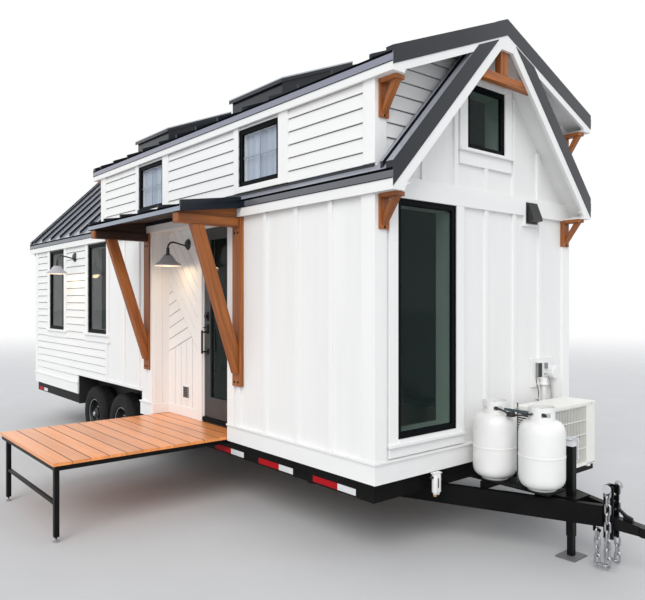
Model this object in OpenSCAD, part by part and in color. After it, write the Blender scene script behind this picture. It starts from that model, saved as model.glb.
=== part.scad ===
// Tiny house on wheels: a timber-framed cabin with two long dormers, on a tandem-axle trailer.
// X runs towards the hitch, the door is on the -Y side, Z = 0 is the ground.
// All measures are in millimetres.

/* [House] */
// Length of the house between its end wall faces
house_len = 7620; // [7000:10:8600]
// Width between the side wall faces
house_w = 2500; // [2300:10:2600]
// Thickness of the framed walls
wall_t = 120; // [80:5:160]
// Height of the top of the floor above the ground
floor_z = 665; // [640:5:720]
// Height of the roof surface at the lower eaves
eave_z = 2735; // [2680:5:2850]
// Slope of the main roof in degrees
main_pitch = 45; // [40:1:48]
// Slope of the steep strip of roof at the front in degrees
front_pitch = 47; // [43:1:49]
// Slope of the dormer roofs in degrees
dormer_pitch = 22; // [16:1:26]
// Length of the dormers, from the front wall face to their back wall face
dormer_len = 4893; // [4500:10:5600]
// Thickness of the roof build-up
roof_t = 90; // [60:5:110]
// Reach of the eaves past the side walls
eave_over = 45; // [35:5:90]
// Reach of the roofs past the end walls
rake_over = 215; // [160:5:300]
// Reach of the dormer roof behind the dormer
dormer_over = 207; // [150:1:260]

/* [Roof metal] */
// Thickness of the metal roof panels with their underlay
metal_t = 4; // [2:0.5:8]
// Height of the standing seams
seam_h = 32; // [15:1:45]
// Width of the standing seams
seam_w = 22; // [10:1:40]
// Distance between the standing seams
seam_gap = 406; // [300:1:600]
// Height of the metal drip edge and rake trim
drip_h = 72; // [40:1:90]
// Depth of the rake trim, square to the slope
rake_drip = 85; // [50:1:95]
// Width of the raised metal cap along the rakes
rake_cap_w = 62; // [40:1:120]
// Thickness of the metal trims
trim_t = 4; // [2:0.5:8]

/* [Boards] */
// Thickness of the fascia and barge boards
fascia_t = 25; // [15:1:35]
// Height of the fascia boards
fascia_h = 145; // [110:1:180]
// Height of the fascia boards of the dormers
dormer_fascia_h = 128; // [100:1:160]
// Depth of the main barge boards, square to the slope
barge_h = 157; // [140:1:240]
// Depth of the dormer barge boards, square to the slope
dormer_barge_h = 140; // [120:1:200]
// Width of the level feet of the barge boards
foot_w = 118; // [80:2:140]
// Half width of the level apex of the front barge boards
apex_w = 75; // [40:5:120]
// Strip of the dormer barge boards that shows above the front rake trim
barge_reveal = 14; // [5:1:30]
// Height of the skirt boards
skirt_h = 155; // [100:5:200]
// Thickness of the skirt boards
skirt_t = 20; // [12:1:30]
// Height of the lower edge of the skirt above the ground
skirt_z = 578; // [560:1:600]

/* [Windows] */
// Width of the window frame bars
frame_w = 42; // [30:1:80]
// Depth of the window frames
frame_d = 70; // [40:1:100]
// Depth of the glass behind the faces of the frames
glass_set = 18; // [12:1:40]
// Thickness of the glass
glass_t = 6; // [4:1:24]
// Height of the window heads
head_z = 2583; // [2450:1:2600]
// Width of the tall fixed window in the front wall
big_win_w = 655; // [500:5:900]
// Height of the tall fixed window
big_win_h = 1718; // [1200:1:1750]
// Centre of the tall window from the middle of the front wall
big_win_y = -712; // [-800:1:-500]
// Width of the loft windows in the end walls
loft_win_w = 500; // [400:5:620]
// Height of the loft windows
loft_win_h = 523; // [400:1:560]
// Height of the sill of the front loft window
loft_win_z = 3047; // [2900:1:3100]
// Height of the sill of the rear loft window
rear_win_z = 2947; // [2800:1:3000]
// Width of the tall side windows
side_win_w = 635; // [400:5:700]
// Height of the tall side windows
side_win_h = 1155; // [800:5:1300]
// Centre of the rear side windows ahead of the rear wall
side_win_rear = 998; // [600:1:1100]
// Distance between the two side windows, centre to centre
side_win_gap = 1570; // [1100:1:1700]
// Width of the dormer windows
dormer_win_w = 600; // [400:5:800]
// Height of the dormer windows
dormer_win_h = 505; // [350:5:520]
// Distance of the dormer window heads below the fascia boards
dormer_head_gap = 21; // [4:1:40]
// Centre of the front dormer window behind the front wall
dormer_win_x1 = 1402; // [1000:1:1600]
// Centre of the rear dormer window behind the front wall
dormer_win_x2 = 3490; // [3200:1:4000]
// Width of the glazing bars
bar_w = 10; // [6:1:30]
// Thickness of the glazing bars
bar_t = 5; // [3:1:8]

/* [Entry] */
// Front end of the entry recess behind the front wall
recess_x = 1891; // [1700:1:2000]
// Length of the entry recess
recess_len = 1557; // [1400:1:1800]
// Depth of the entry recess
recess_d = 200; // [150:5:300]
// Width of the door leaf
door_w = 740; // [650:5:820]
// Thickness of the door leaf
door_t = 45; // [38:1:60]
// Width of the stiles and top rail of the door
stile_w = 100; // [70:1:130]
// Height of the bottom rail of the door
kick_h = 190; // [120:5:300]
// Gap round the door leaf
door_gap = 5; // [5:0.5:8]
// Width of the door jambs
jamb_w = 41; // [30:1:60]

/* [Awning] */
// Front end of the awning behind the front wall
awning_x = 1617; // [1500:1:1700]
// Length of the awning
awning_len = 2040; // [1900:5:2200]
// Reach of the awning from the wall
awning_reach = 640; // [400:5:800]
// Fall of the awning from the wall to its outer edge
awning_fall = 82; // [40:1:120]
// Width of the cedar wall boards under the awning
post_w = 131; // [90:1:160]
// Thickness of the cedar wall boards
post_t = 38; // [30:1:60]
// Height of the foot of the cedar wall boards
post_z = 1090; // [900:5:1300]
// Width of the cedar beams and braces
beam_w = 89; // [60:1:110]
// Height of the cedar beams
beam_h = 80; // [60:1:100]
// Width of the braces, measured level
brace_w = 110; // [80:1:140]
// Distance of the tops of the braces behind the outer edge of the awning
brace_top = 150; // [90:5:200]
// Distance of the toes of the braces from the wall boards
brace_toe = 30; // [15:1:60]
// Height of the feet of the braces above the feet of the wall boards
brace_z = 115; // [60:5:200]

/* [Cedar] */
// Width of the knee brackets
knee_w = 89; // [60:1:110]
// Height of the knee brackets
knee_h = 243; // [180:1:300]
// Height of the knee brackets under the dormer roofs
dormer_knee_h = 262; // [180:1:300]
// Reach of the knee brackets
knee_reach = 185; // [120:1:190]
// Thickness of the members of the knee brackets
knee_t = 38; // [25:1:50]
// Height of the collar tie in the gable
collar_h = 68; // [50:1:140]
// Level of the underside of the collar tie
collar_z = 3562; // [3400:1:3650]
// Width of the king post above the collar tie
king_w = 100; // [60:5:140]

/* [Deck] */
// Length of the deck along the house
deck_len = 1540; // [1200:10:1550]
// Reach of the deck from the side wall face
deck_reach = 1550; // [1200:10:1800]
// Height of the top of the deck
deck_z = 610; // [600:1:640]
// Thickness of the deck boards
board_t = 25; // [18:1:35]
// Gap between the deck boards
board_gap = 4; // [2:1:8]
// Number of deck boards
board_count = 12; // [8:1:16]
// Size of the square deck tubes
tube_w = 38; // [25:1:50]
// Height of the bar between the deck legs
deck_bar_z = 280; // [200:5:350]
// Distance of the rear leg from the end of the deck
leg_inset = 150; // [20:5:300]

/* [Trailer] */
// Height of the underside of the trailer frame
frame_z = 440; // [400:5:480]
// Height of the top of the trailer frame
frame_top = 585; // [570:1:600]
// Distance of the frame sides inside the wall faces
frame_in = 20; // [10:1:40]
// Thickness of the frame members
rail_t = 50; // [40:1:80]
// Distance of the main beams inside the wheel wells
beam_gap = 50; // [20:5:200]
// Number of cross members
cross_count = 13; // [9:1:17]
// Depth of the tongue rails
tongue_h = 145; // [100:5:150]
// Half angle between the tongue rails in degrees
tongue_angle = 22.3; // [18:0.1:26]
// Reach of the tongue rails past the front wall
tongue_x = 1010; // [900:5:1200]
// Reach of the tongue rails under the house
tongue_back = 1150; // [800:10:1400]
// Level of the foot of the coupler channel
coupler_z = 220; // [200:5:290]
// Height of the coupler channel
coupler_h = 360; // [340:5:380]
// Distance between the holes in the coupler channel
hole_gap = 51; // [40:1:60]
// Level of the pins that hold the safety chains
chain_pin_z = 569; // [560:1:590]
// Distance of the safety chains from the middle of the coupler
chain_y = 70; // [70:1:90]
// Diameter of the wire of the chain links
link_d = 14; // [8:1:15]
// Width of the chain links between the middles of their sides
link_w = 34; // [32:1:38]
// Length of the chain links between the middles of their ends
link_l = 74; // [70:1:76]
// Diameter of the tyres
tyre_d = 720; // [640:5:760]
// Width of the tyres
tyre_w = 225; // [180:5:240]
// Distance between the two axles
axle_gap = 865; // [800:5:960]
// Middle of the axle pair behind the front wall
axle_x = 4860; // [4500:5:4950]
// Clear space from the front tyres to the front ends of the wheel wells
well_front_gap = 327; // [60:1:400]
// Clear space from the rear tyres to the rear ends of the wheel wells
well_rear_gap = 100; // [60:1:300]
// Height of the top of the wheel wells
well_z = 832; // [800:1:900]
// Thickness of the wheel well sheet
well_t = 5; // [3:1:10]
// Diameter of the hitch ball socket
socket_d = 60; // [50:1:60]
// Level of the floor of the jack tube
jack_tube_z = 150; // [145:5:290]
// Outer size of the jack tube
jack_w = 52; // [46:1:80]
// Height of the top of the jack
jack_top = 862; // [750:1:950]
// Distance of the jack from the front wall face
jack_x = 750; // [700:5:820]

/* [Equipment] */
// Diameter of the gas tanks
tank_d = 326; // [280:1:330]
// Height of the gas tanks
tank_h = 590; // [500:5:640]
// Distance of the first tank from the front wall face
tank_x = 230; // [200:5:260]
// Distance between the tanks
tank_gap = 400; // [340:5:420]
// Distance of the tanks from the middle of the tongue
tank_y = 190; // [175:5:220]
// Level of the tank tray
tray_z = 500; // [480:5:540]
// Length of the outdoor unit across the tongue
unit_w = 760; // [700:10:820]
// Depth of the outdoor unit
unit_d = 285; // [240:5:320]
// Height of the outdoor unit
unit_h = 528; // [500:1:600]
// Distance of the outdoor unit from the front wall face
unit_x = 135; // [110:5:180]
// Start of the outdoor unit beside the middle of the tongue
unit_y = 215; // [150:5:220]
// Width of the grille of the outdoor unit
grille_w = 590; // [480:10:620]
// Margin round the grille of the outdoor unit
grille_edge = 30; // [20:5:45]
// Depth of the recess behind the grille
grille_d = 60; // [45:5:80]
// Distance between the fins of the grille
fin_gap = 23; // [15:1:40]
// Diameter of the fan
fan_d = 420; // [360:10:430]
// Height of the steel bearers under the outdoor unit
bearer_h = 40; // [25:5:60]
// Diameter of the lamp shades
shade_d = 275; // [240:5:360]
// Reach of the lamps from the wall
lamp_reach = 250; // [230:5:360]
// Level of the wall plates of the lamps
lamp_z = 2446; // [2350:1:2480]
// Distance of the entry lamp from the rear end of the recess
lamp_entry = 443; // [250:1:500]
// Distance of the side lamp ahead of the centre of the rear side window
lamp_side = 742; // [600:1:1000]
// Height of the lamp shades
shade_h = 121; // [100:1:140]

/* [Hidden] */
$fn = 64;
seat = 0.3;
y_wall = house_w / 2;
y_eave = y_wall + eave_over;
ridge_z = eave_z + y_eave * tan(main_pitch);
dormer_eave_z = ridge_z - y_eave * tan(dormer_pitch);
x_in = -wall_t;
x_rear = -house_len;
x_dormer = -dormer_len;
x_dormer_rake = x_dormer - dormer_over;
x_rake = rake_over;
x_rear_rake = x_rear - rake_over;
wall_z = frame_top;
side_win_x1 = house_len - side_win_rear;
side_win_x2 = side_win_x1 - side_win_gap;
fascia_z = eave_z - fascia_h;
dormer_fascia_z = dormer_eave_z - dormer_fascia_h;
wall_split_z = eave_z - 35;
y_recess = -y_wall + recess_d;
x_recess_rear = -recess_x - recess_len;
y_well = y_wall - frame_in - tyre_w - 25;
beam_span = 2 * (y_well - beam_gap);
well_x0 = -axle_x - axle_gap / 2 - tyre_d / 2 - well_rear_gap;
well_x1 = -axle_x + axle_gap / 2 + tyre_d / 2 + well_front_gap;
x_hitch = tongue_x + 20;
coupler_len = 300;
x_nose = x_hitch + coupler_len;
y_deck = -y_wall - deck_reach;
x_back = x_rear_rake - trim_t;
y_far = y_eave + trim_t;
main_roof = [main_pitch, eave_z];
front_roof = [front_pitch, eave_z];
dormer_roof = [dormer_pitch, dormer_eave_z];
pin_r = 6;
link_step = link_l - link_d - seat;
front_links = 9;
back_links = 4;
x_chain = x_hitch + 25;
centre_shift = [-(x_back + x_nose) / 2, -(y_deck + y_far) / 2, 0];

// A roof is its slope and the height of its surface at the eaves. Its height at a distance from the
// middle, and
// the same at a depth square to the slope
function roof_top(roof, y) = roof[1] + (y_eave - abs(y)) * tan(roof[0]);
function roof_at(roof, y, d) = roof_top(roof, y) - d / cos(roof[0]);

// A layer of a roof slope between two depths square to the slope, from y0 out to y1, on the door side
function slope_band(roof, y0, y1, d0, d1) = [
    [-y1, roof_at(roof, y1, d0)],
    [-y0, roof_at(roof, y0, d0)],
    [-y0, roof_at(roof, y0, d1)],
    [-y1, roof_at(roof, y1, d1)]];

// The outline of everything below a roof plane at a depth square to the slope
function below_roof(roof, y1, d, z0) = [
    [-y1, z0],
    [-y1, roof_at(roof, y1, d)],
    [0, roof_at(roof, 0, d)],
    [y1, roof_at(roof, y1, d)],
    [y1, z0]];

module place() { translate(centre_shift) children(); }
// A block between two values on each axis
module block(x0, x1, y0, y1, z0, z1) { translate([x0, y0, z0]) cube([x1 - x0, y1 - y0, z1 - z0]); }
// An outline in the YZ plane, drawn along X
module prism_x(x0, x1, pts) { translate([x0, 0, 0]) rotate([90, 0,
    90]) linear_extrude(x1 - x0) polygon(pts); }
// An outline in the XZ plane, drawn along Y
module prism_y(y0, y1, pts) { translate([0, y1, 0]) rotate([90, 0,
    0]) linear_extrude(y1 - y0) polygon(pts); }
module both_sides() { children(); mirror([0, 1, 0]) children(); }
module rod_y(x, z, y0, y1, r) { translate([x, y0, z]) rotate([-90, 0, 0]) cylinder(h = y1 - y0, r = r); }
module under_main(x0, x1, d) { prism_x(x0, x1, below_roof(main_roof, y_eave, d, 0)); }
module under_dormer(x0, x1, d) { prism_x(x0, x1, below_roof(dormer_roof, y_eave, d, 0)); }

// Openings
module window_hole_side(xc, z0, w, h, y0) {
    block(-xc - w / 2, -xc + w / 2, y0 - 1, y0 + wall_t + 1, z0, z0 + h);
}
module window_hole_end(yc, z0, w, h, x0) {
    block(x0 - 1, x0 + wall_t + 1, yc - w / 2, yc + w / 2, z0, z0 + h);
}
big_win_z = head_z - big_win_h;
side_win_z = head_z - side_win_h;
dormer_win_z = dormer_eave_z - dormer_fascia_h - dormer_head_gap - dormer_win_h;

// Trailer
// The members stand a seat apart, so that each one keeps its own shape
module trailer_frame() {
    y_rim = y_wall - frame_in;
    y_beam = beam_span / 2;
    end_t = 30;
    web_t = 10;
    flange_t = 12;
    member_w = 60;
    member_drop = 30;
    x_first = x_rear + 120;
    pitch = (house_len - 320) / (cross_count - 1);
    color("dimgray") place() {
        both_sides() {
            difference() {
                block(x_rear + end_t + seat, -rail_t - end_t - seat, -y_beam, -y_beam + rail_t,
                    frame_z, frame_top);
                block(x_rear, 0, -y_beam + web_t, -y_beam + rail_t + 1,
                    frame_z + flange_t, frame_top - flange_t);
            }
            block(well_x1 + 10, -end_t - rail_t - seat, -y_rim, -y_rim + rail_t, frame_z, frame_top);
            block(x_rear + end_t + seat, well_x0 - 10, -y_rim, -y_rim + rail_t, frame_z, frame_top);
            for (x = [-1100, -2700, x_rear + 400])
                block(x, x + member_w, -y_rim + rail_t + seat, -y_beam - seat, frame_z + member_drop,
                    frame_top);
        }
        block(-end_t - rail_t, -end_t, -y_rim, y_rim, frame_z, frame_top);
        block(x_rear, x_rear + end_t, -y_rim, y_rim, frame_z, frame_top);
        for (i = [0:cross_count - 1])
            block(x_first + i * pitch, x_first + i * pitch + member_w,
                -y_beam + rail_t + seat, y_beam - rail_t - seat, frame_z + member_drop, frame_top);
    }
}

module tongue_rail() {
    rail_len = (tongue_x + tongue_back) / cos(tongue_angle);
    translate([tongue_x, -1, frame_z - tongue_h]) rotate([0, 0, tongue_angle])
        difference() {
            translate([-rail_len, -rail_t, 0]) cube([rail_len, rail_t, tongue_h]);
            translate([-rail_len - 1, -rail_t + 8, 9]) cube([rail_len + 2, rail_t, tongue_h - 18]);
        }
}

// Distance of the outer faces of the tongue rails from the middle
function rail_outer(x) = 1 + (tongue_x - x) * tan(tongue_angle) + rail_t / cos(tongue_angle);

// Level of the pins under the tongue, which hold the other ends of the safety chains
back_pin_z = chain_pin_z - (front_links - back_links) * link_step;

module tongue() {
    x_pin = x_chain - link_l;
    color("dimgray") place() both_sides() {
        intersection() {
            tongue_rail();
            block(-tongue_back, tongue_x, -y_wall, -0.5, 0, frame_z);
        }
        block(x_pin - 26, x_pin - 18, -chain_y - 10, -chain_y + 20, back_pin_z - 9, frame_z - tongue_h + 1);
        translate([x_pin - 19, -chain_y, back_pin_z]) rotate([0, 90, 0]) {
            cylinder(h = 40, r = pin_r);
            translate([0, 0, 35]) cylinder(h = 5, r = 2 * pin_r);
        }
    }
}

module coupler() {
    cheek_y = 42;
    cheek_t = 8;
    socket_z = 290;
    head_r = 48;
    x_ball = x_nose - head_r;
    washer_r = 30;
    color("dimgray") place() difference() {
        union() {
            block(tongue_x, x_hitch, -cheek_y, cheek_y, coupler_z, coupler_z + coupler_h);
            both_sides() {
                block(x_hitch - 1, x_hitch + 50, -cheek_y, cheek_t - cheek_y,
                    coupler_z, coupler_z + coupler_h);
                rod_y(x_chain, chain_pin_z, -chain_y - 16, 1 - cheek_y, pin_r);
                rod_y(x_chain, chain_pin_z, -chain_y - 24, -chain_y - 16, washer_r);
            }
            prism_y(cheek_t - cheek_y + 0.5, cheek_y - cheek_t - 0.5, [[x_hitch, socket_z], [x_hitch,
                socket_z + 82],
                [x_hitch + 120, socket_z + 76], [x_nose - 60, socket_z + 62], [x_nose - 14, socket_z + 48],
                [x_nose, socket_z + 28], [x_nose, socket_z]]);
            prism_y(-12, 12, [[x_hitch + 100, socket_z + 70], [x_hitch + 170, socket_z + 60],
                [x_hitch + 160, socket_z + 98],
                [x_hitch + 118, socket_z + 112], [x_hitch + 66, socket_z + 148], [x_hitch + 60,
                    socket_z + 138],
                [x_hitch + 104, socket_z + 100]]);
            translate([x_ball, 0, socket_z]) cylinder(h = 64, r = head_r);
        }
        translate([x_ball, 0, socket_z - 1]) cylinder(h = 46, d = socket_d);
        translate([x_hitch + 130, -24, socket_z - 1]) cube([50, 48, 45]);
        for (i = [1:4])
            rod_y(x_chain, chain_pin_z - 5 - i * hole_gap, -cheek_y - 5, cheek_y + 5, 10);
    }
}

jack_wall = 4;
module jack_tube() {
    inner = jack_w / 2 - jack_wall;
    outer = jack_w / 2;
    cap_h = 20;
    crank_z = jack_top - 34;
    crank_l = 125;
    color("black") place() translate([jack_x, 0, 0]) difference() {
        union() {
            block(-outer, outer, -outer, outer, jack_tube_z, jack_top - cap_h);
            block(-110, 90, -100, 100, frame_z, frame_z + 10);
            block(-outer - 5, outer + 5, -outer - 5, outer + 5, jack_top - cap_h, jack_top);
            rod_y(0, crank_z, outer - 1, outer + 26, 7);
            block(-9, 9, outer + 20, outer + 26, crank_z - crank_l - 12, crank_z + 12);
            rod_y(0, crank_z - crank_l, outer + 25, outer + 80, 10);
        }
        block(-inner, inner, -inner, inner, jack_tube_z - 1, jack_top - cap_h);
    }
}

module jack_leg() {
    leg = jack_w / 2 - jack_wall - 0.4;
    foot_t = 10;
    color("silver") place() translate([jack_x, 0, 0]) {
        block(-leg, leg, -leg, leg, foot_t, 540);
        block(-75, 75, -90, 90, 0, foot_t);
    }
}

module chain_link(w, l, r) {
    for (s = [-1, 1]) {
        translate([s * w / 2, 0, 0]) cylinder(h = l - w, r = r, center = true, $fn = 24);
        translate([0, 0, s * (l - w) / 2]) rotate([90, 0, 0]) rotate([0, 0, s > 0 ? 0 : 180])
            rotate_extrude(angle = 180, $fn = 24) translate([w / 2, 0]) circle(r = r, $fn = 16);
    }
}

// Each chain hangs from the coupler's pin down to a level link and up again to the pin under the tongue
module safety_chains() {
    top_z = chain_pin_z + pin_r + seat + link_d / 2 - link_l / 2;
    low_z = top_z - (front_links - 1) * link_step;
    color("silver") place() for (s = [-1, 1]) {
        for (i = [0:front_links - 1])
            translate([x_chain, s * chain_y, top_z - i * link_step])
                rotate([0, 0, i % 2 == 0 ? 0 : 90]) chain_link(link_w, link_l, link_d / 2);
        for (i = [front_links - back_links:front_links - 1])
            translate([x_chain - link_l, s * chain_y, top_z - i * link_step])
                rotate([0, 0, i % 2 == 0 ? 0 : 90]) chain_link(link_w, link_l, link_d / 2);
        translate([x_chain - link_l / 2, s * chain_y, low_z - link_l / 2 + link_d + seat])
            rotate([0, 90, 0]) rotate([0, 0, 90]) chain_link(link_w, link_l, link_d / 2);
    }
}

// Running gear
module axles() {
    z = tyre_d / 2;
    y_hub = y_wall - frame_in - tyre_w;
    color("dimgray") place() {
        for (s = [-1, 1]) translate([-axle_x + s * axle_gap / 2, 0, 0]) {
            rod_y(0, z, -y_hub + 40, y_hub - 40, 38);
            both_sides() {
                rod_y(0, z, -y_hub - 150, -y_hub + 40, 22);
                block(-360, 360, -y_hub + 75, -y_hub + 125, z + 38, z + 62);
                for (e = [-1, 1])
                    block(e * 340 - 25, e * 340 + 25, -y_hub + 70, -y_hub + 130, z + 62, frame_z);
            }
        }
    }
}

module tyre_profile() {
    r = tyre_d / 2;
    h = tyre_w / 2;
    polygon([[r - 170, -h + 22], [r - 150, -h + 6], [r - 90, -h], [r - 35, -h + 8], [r - 12, -h + 26],
        [r, -h + 55], [r, h - 55], [r - 12, h - 26], [r - 35, h - 8], [r - 90, h], [r - 150, h - 6],
            [r - 170, h - 22]]);
}

// A wheel's own frame: its axis along Y, its outer face towards -Y
module at_wheel(side, end) {
    translate([-axle_x + end * axle_gap / 2, side * (y_wall - frame_in - 5 - tyre_w / 2), tyre_d / 2])
        rotate([0, 0, side < 0 ? 0 : 180]) rotate([90, 0, 0]) children();
}

module tyre(side, end) {
    color("black") place() at_wheel(side, end) rotate_extrude($fn = 96) tyre_profile();
}

module wheel(side, end) {
    r = tyre_d / 2 - 170;
    h = tyre_w / 2;
    color("silver") place() at_wheel(side, end) difference() {
        union() {
            rotate_extrude($fn = 96) polygon([[r, -h + 22.5], [r, h - 22.5], [r - 8, h - 22.5],
                [r - 18, h - 50],
                [r - 26, 24], [r - 34, 8], [70, 20], [70, 70], [34, 96], [0, 100], [0, -40], [80, -40],
                    [80, -8],
                [r - 30, -8], [r - 12, -h + 60], [r - 8, -h + 22.5]]);
            translate([0, 0, -95]) cylinder(h = 90, r = 80);
        }
        translate([0, 0, -96]) cylinder(h = 170, r = 22.1);
        for (a = [0:8])
            rotate([0, 0, a * 40]) translate([r - 58, 0, 0]) cylinder(h = 80, r = 13, center = true,
                $fn = 32);
    }
}
module tyre_door_front() { tyre(-1, 1); }
module tyre_door_rear() { tyre(-1, -1); }
module tyre_far_front() { tyre(1, 1); }
module tyre_far_rear() { tyre(1, -1); }
module wheel_door_front() { wheel(-1, 1); }
module wheel_door_rear() { wheel(-1, -1); }
module wheel_far_front() { wheel(1, 1); }
module wheel_far_rear() { wheel(1, -1); }

module wheel_wells() {
    color("black") place() both_sides() difference() {
        block(well_x0, well_x1, -y_wall + 1, -y_well, frame_z, well_z);
        block(well_x0 + well_t, well_x1 - well_t, -y_wall, -y_well - well_t, frame_z - 1, well_z - well_t);
    }
}

// Shell
module well_cut() {
    both_sides() block(well_x0 - seat, well_x1 + seat, -y_wall - 40, -y_well + seat, 0, well_z + seat);
}

module floor() {
    color("tan") place() difference() {
        block(x_rear + wall_t + seat, -wall_t - seat, -y_wall + wall_t + seat, y_wall - wall_t - seat,
            wall_z + seat, floor_z);
        well_cut();
        block(x_recess_rear - wall_t - seat, -recess_x + wall_t + seat, -y_wall, y_recess + wall_t + seat,
            0, floor_z + 1);
    }
}

module wall_front() {
    color("white") place() difference() {
        intersection() {
            block(-wall_t, 0, -y_wall, y_wall, wall_z, ridge_z);
            under_dormer(-wall_t - 1, 1, roof_t);
        }
        window_hole_end(big_win_y, big_win_z, big_win_w, big_win_h, -wall_t);
        window_hole_end(0, loft_win_z, loft_win_w, loft_win_h, -wall_t);
    }
}

module wall_rear() {
    color("white") place() difference() {
        intersection() {
            block(x_rear, x_rear + wall_t, -y_wall, y_wall, wall_z, ridge_z);
            under_main(x_rear - 1, x_rear + wall_t + 1, roof_t);
        }
        window_hole_end(0, rear_win_z, loft_win_w, loft_win_h, x_rear);
    }
}

// A lower side wall on the door side, its top following the roof behind the dormer
module side_wall(x0, x1) {
    difference() {
        union() {
            if (x1 > x_dormer + wall_t)
                block(max(x0, x_dormer + wall_t), x1, -y_wall, -y_wall + wall_t, wall_z, wall_split_z);
            if (x0 < x_dormer + wall_t)
                intersection() {
                    block(x0, min(x1, x_dormer + wall_t), -y_wall, -y_wall + wall_t, wall_z, ridge_z);
                    under_main(x0 - 1, x1 + 1, roof_t);
                }
        }
        well_cut();
        for (x = [side_win_x1, side_win_x2])
            window_hole_side(x, side_win_z, side_win_w, side_win_h, -y_wall);
    }
}

module wall_door_front() { color("white") place() side_wall(-recess_x, -wall_t); }
module wall_door_rear() { color("white") place() side_wall(x_rear + wall_t, x_recess_rear); }
module wall_far_side() { color("white") place() mirror([0, 1, 0]) side_wall(x_rear + wall_t, -wall_t); }

door_x1 = -recess_x - jamb_w - door_gap;
door_x0 = door_x1 - door_w;
door_z0 = floor_z + 3;
door_z1 = head_z - 3;

module recess_walls() {
    x_jamb = door_x0 - door_gap - jamb_w;
    top = head_z + 17;
    y_in = -y_wall + wall_t + seat;
    color("white") place() {
        block(x_recess_rear, x_jamb, y_recess, y_recess + wall_t, wall_z, top);
        block(x_recess_rear - wall_t, x_recess_rear - seat, y_in, y_recess + wall_t, wall_z, top);
        block(-recess_x + seat, -recess_x + wall_t, y_in, y_recess + wall_t, wall_z, top);
        block(x_recess_rear + seat, -recess_x - seat, -y_wall, -y_wall + wall_t, top + seat, wall_split_z);
        block(x_recess_rear - wall_t, -recess_x + wall_t, y_in, y_recess + wall_t, top + seat,
            wall_split_z);
    }
}

module dormer_wall() {
    difference() {
        intersection() {
            block(x_dormer + wall_t, -wall_t, -y_wall, -y_wall + wall_t, wall_split_z, ridge_z);
            under_dormer(x_dormer, 0, roof_t);
        }
        for (x = [dormer_win_x1, dormer_win_x2])
            window_hole_side(x, dormer_win_z, dormer_win_w, dormer_win_h, -y_wall);
    }
}
module dormer_wall_door() { color("white") place() dormer_wall(); }
module dormer_wall_far() { color("white") place() mirror([0, 1, 0]) dormer_wall(); }

module dormer_back_wall() {
    color("white") place() difference() {
        intersection() {
            block(x_dormer, x_dormer + wall_t, -y_wall, y_wall, eave_z - 200, ridge_z);
            under_dormer(x_dormer - 1, x_dormer + wall_t + 1, roof_t);
        }
        under_main(x_dormer - 1, x_dormer + wall_t + 1, roof_t);
    }
}

// Roofs
module slope(roof, x0, x1, y0, d0, d1) { both_sides() prism_x(x0, x1, slope_band(roof, y0, y_eave, d0,
    d1)); }
module above_dormer_soffit(x0, x1, d) {
    difference() {
        block(x0, x1, -y_eave - 50, y_eave + 50, 0, ridge_z + 200);
        prism_x(x0 - 1, x1 + 1, below_roof(dormer_roof, y_eave + 60, d, -1));
    }
}

module roof_deck() {
    y_out = y_eave - fascia_t;
    color("whitesmoke") place() difference() {
        intersection() {
            union() {
                slope(main_roof, x_rear_rake + fascia_t, x_dormer, 1, metal_t + seat, roof_t);
                slope(front_roof, 0, x_rake - fascia_t, 1, metal_t + seat, roof_t);
            }
            block(x_rear_rake, x_rake, -y_out, y_out, 0, ridge_z);
        }
        above_dormer_soffit(x_dormer_rake, x_dormer + 1, roof_t);
        above_dormer_soffit(-1, x_rake, roof_t);
    }
}

sky_len = 800;
sky_y0 = 275;
sky_y1 = 1055;
sky_h = 130;
sky_x = [-3480, -1340];
module sky_prism(x, grow, y_grow, d0, d1) {
    prism_x(x - sky_len - grow, x + grow, slope_band(dormer_roof, sky_y0 - y_grow, sky_y1 + y_grow, d0,
        d1));
}

module dormer_roof_deck() {
    y_out = y_eave - fascia_t;
    color("whitesmoke") place() difference() {
        intersection() {
            slope(dormer_roof, x_dormer_rake + fascia_t, x_rake - fascia_t, 1, metal_t, roof_t);
            block(x_dormer_rake, x_rake, -y_out, y_out, 0, ridge_z);
        }
        for (x = sky_x) sky_prism(x, -60, -60, -10, roof_t + 10);
    }
}

// Seams along a slope from x0 to x1
module seams(roof, x0, x1, y0) {
    n = floor((x1 - x0) / seam_gap);
    start = x0 + ((x1 - x0) - n * seam_gap) / 2;
    both_sides() for (i = [0:n])
        prism_x(start + i * seam_gap - seam_w / 2, start + i * seam_gap + seam_w / 2,
            slope_band(roof, y0, y_eave - 8, -seam_h, 1));
}

// The metal edge that hangs down along the eaves of a roof
module eave_drip(roof, x0, x1) {
    both_sides() block(x0, x1, -y_eave - trim_t, -y_eave, roof[1] - drip_h, roof[1] - 1);
}
module ridge_cap(roof, x0, x1) {
    both_sides() prism_x(x0, x1, slope_band(roof, 0, 130, -seam_h - 3, -seam_h + 3));
}

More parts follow.
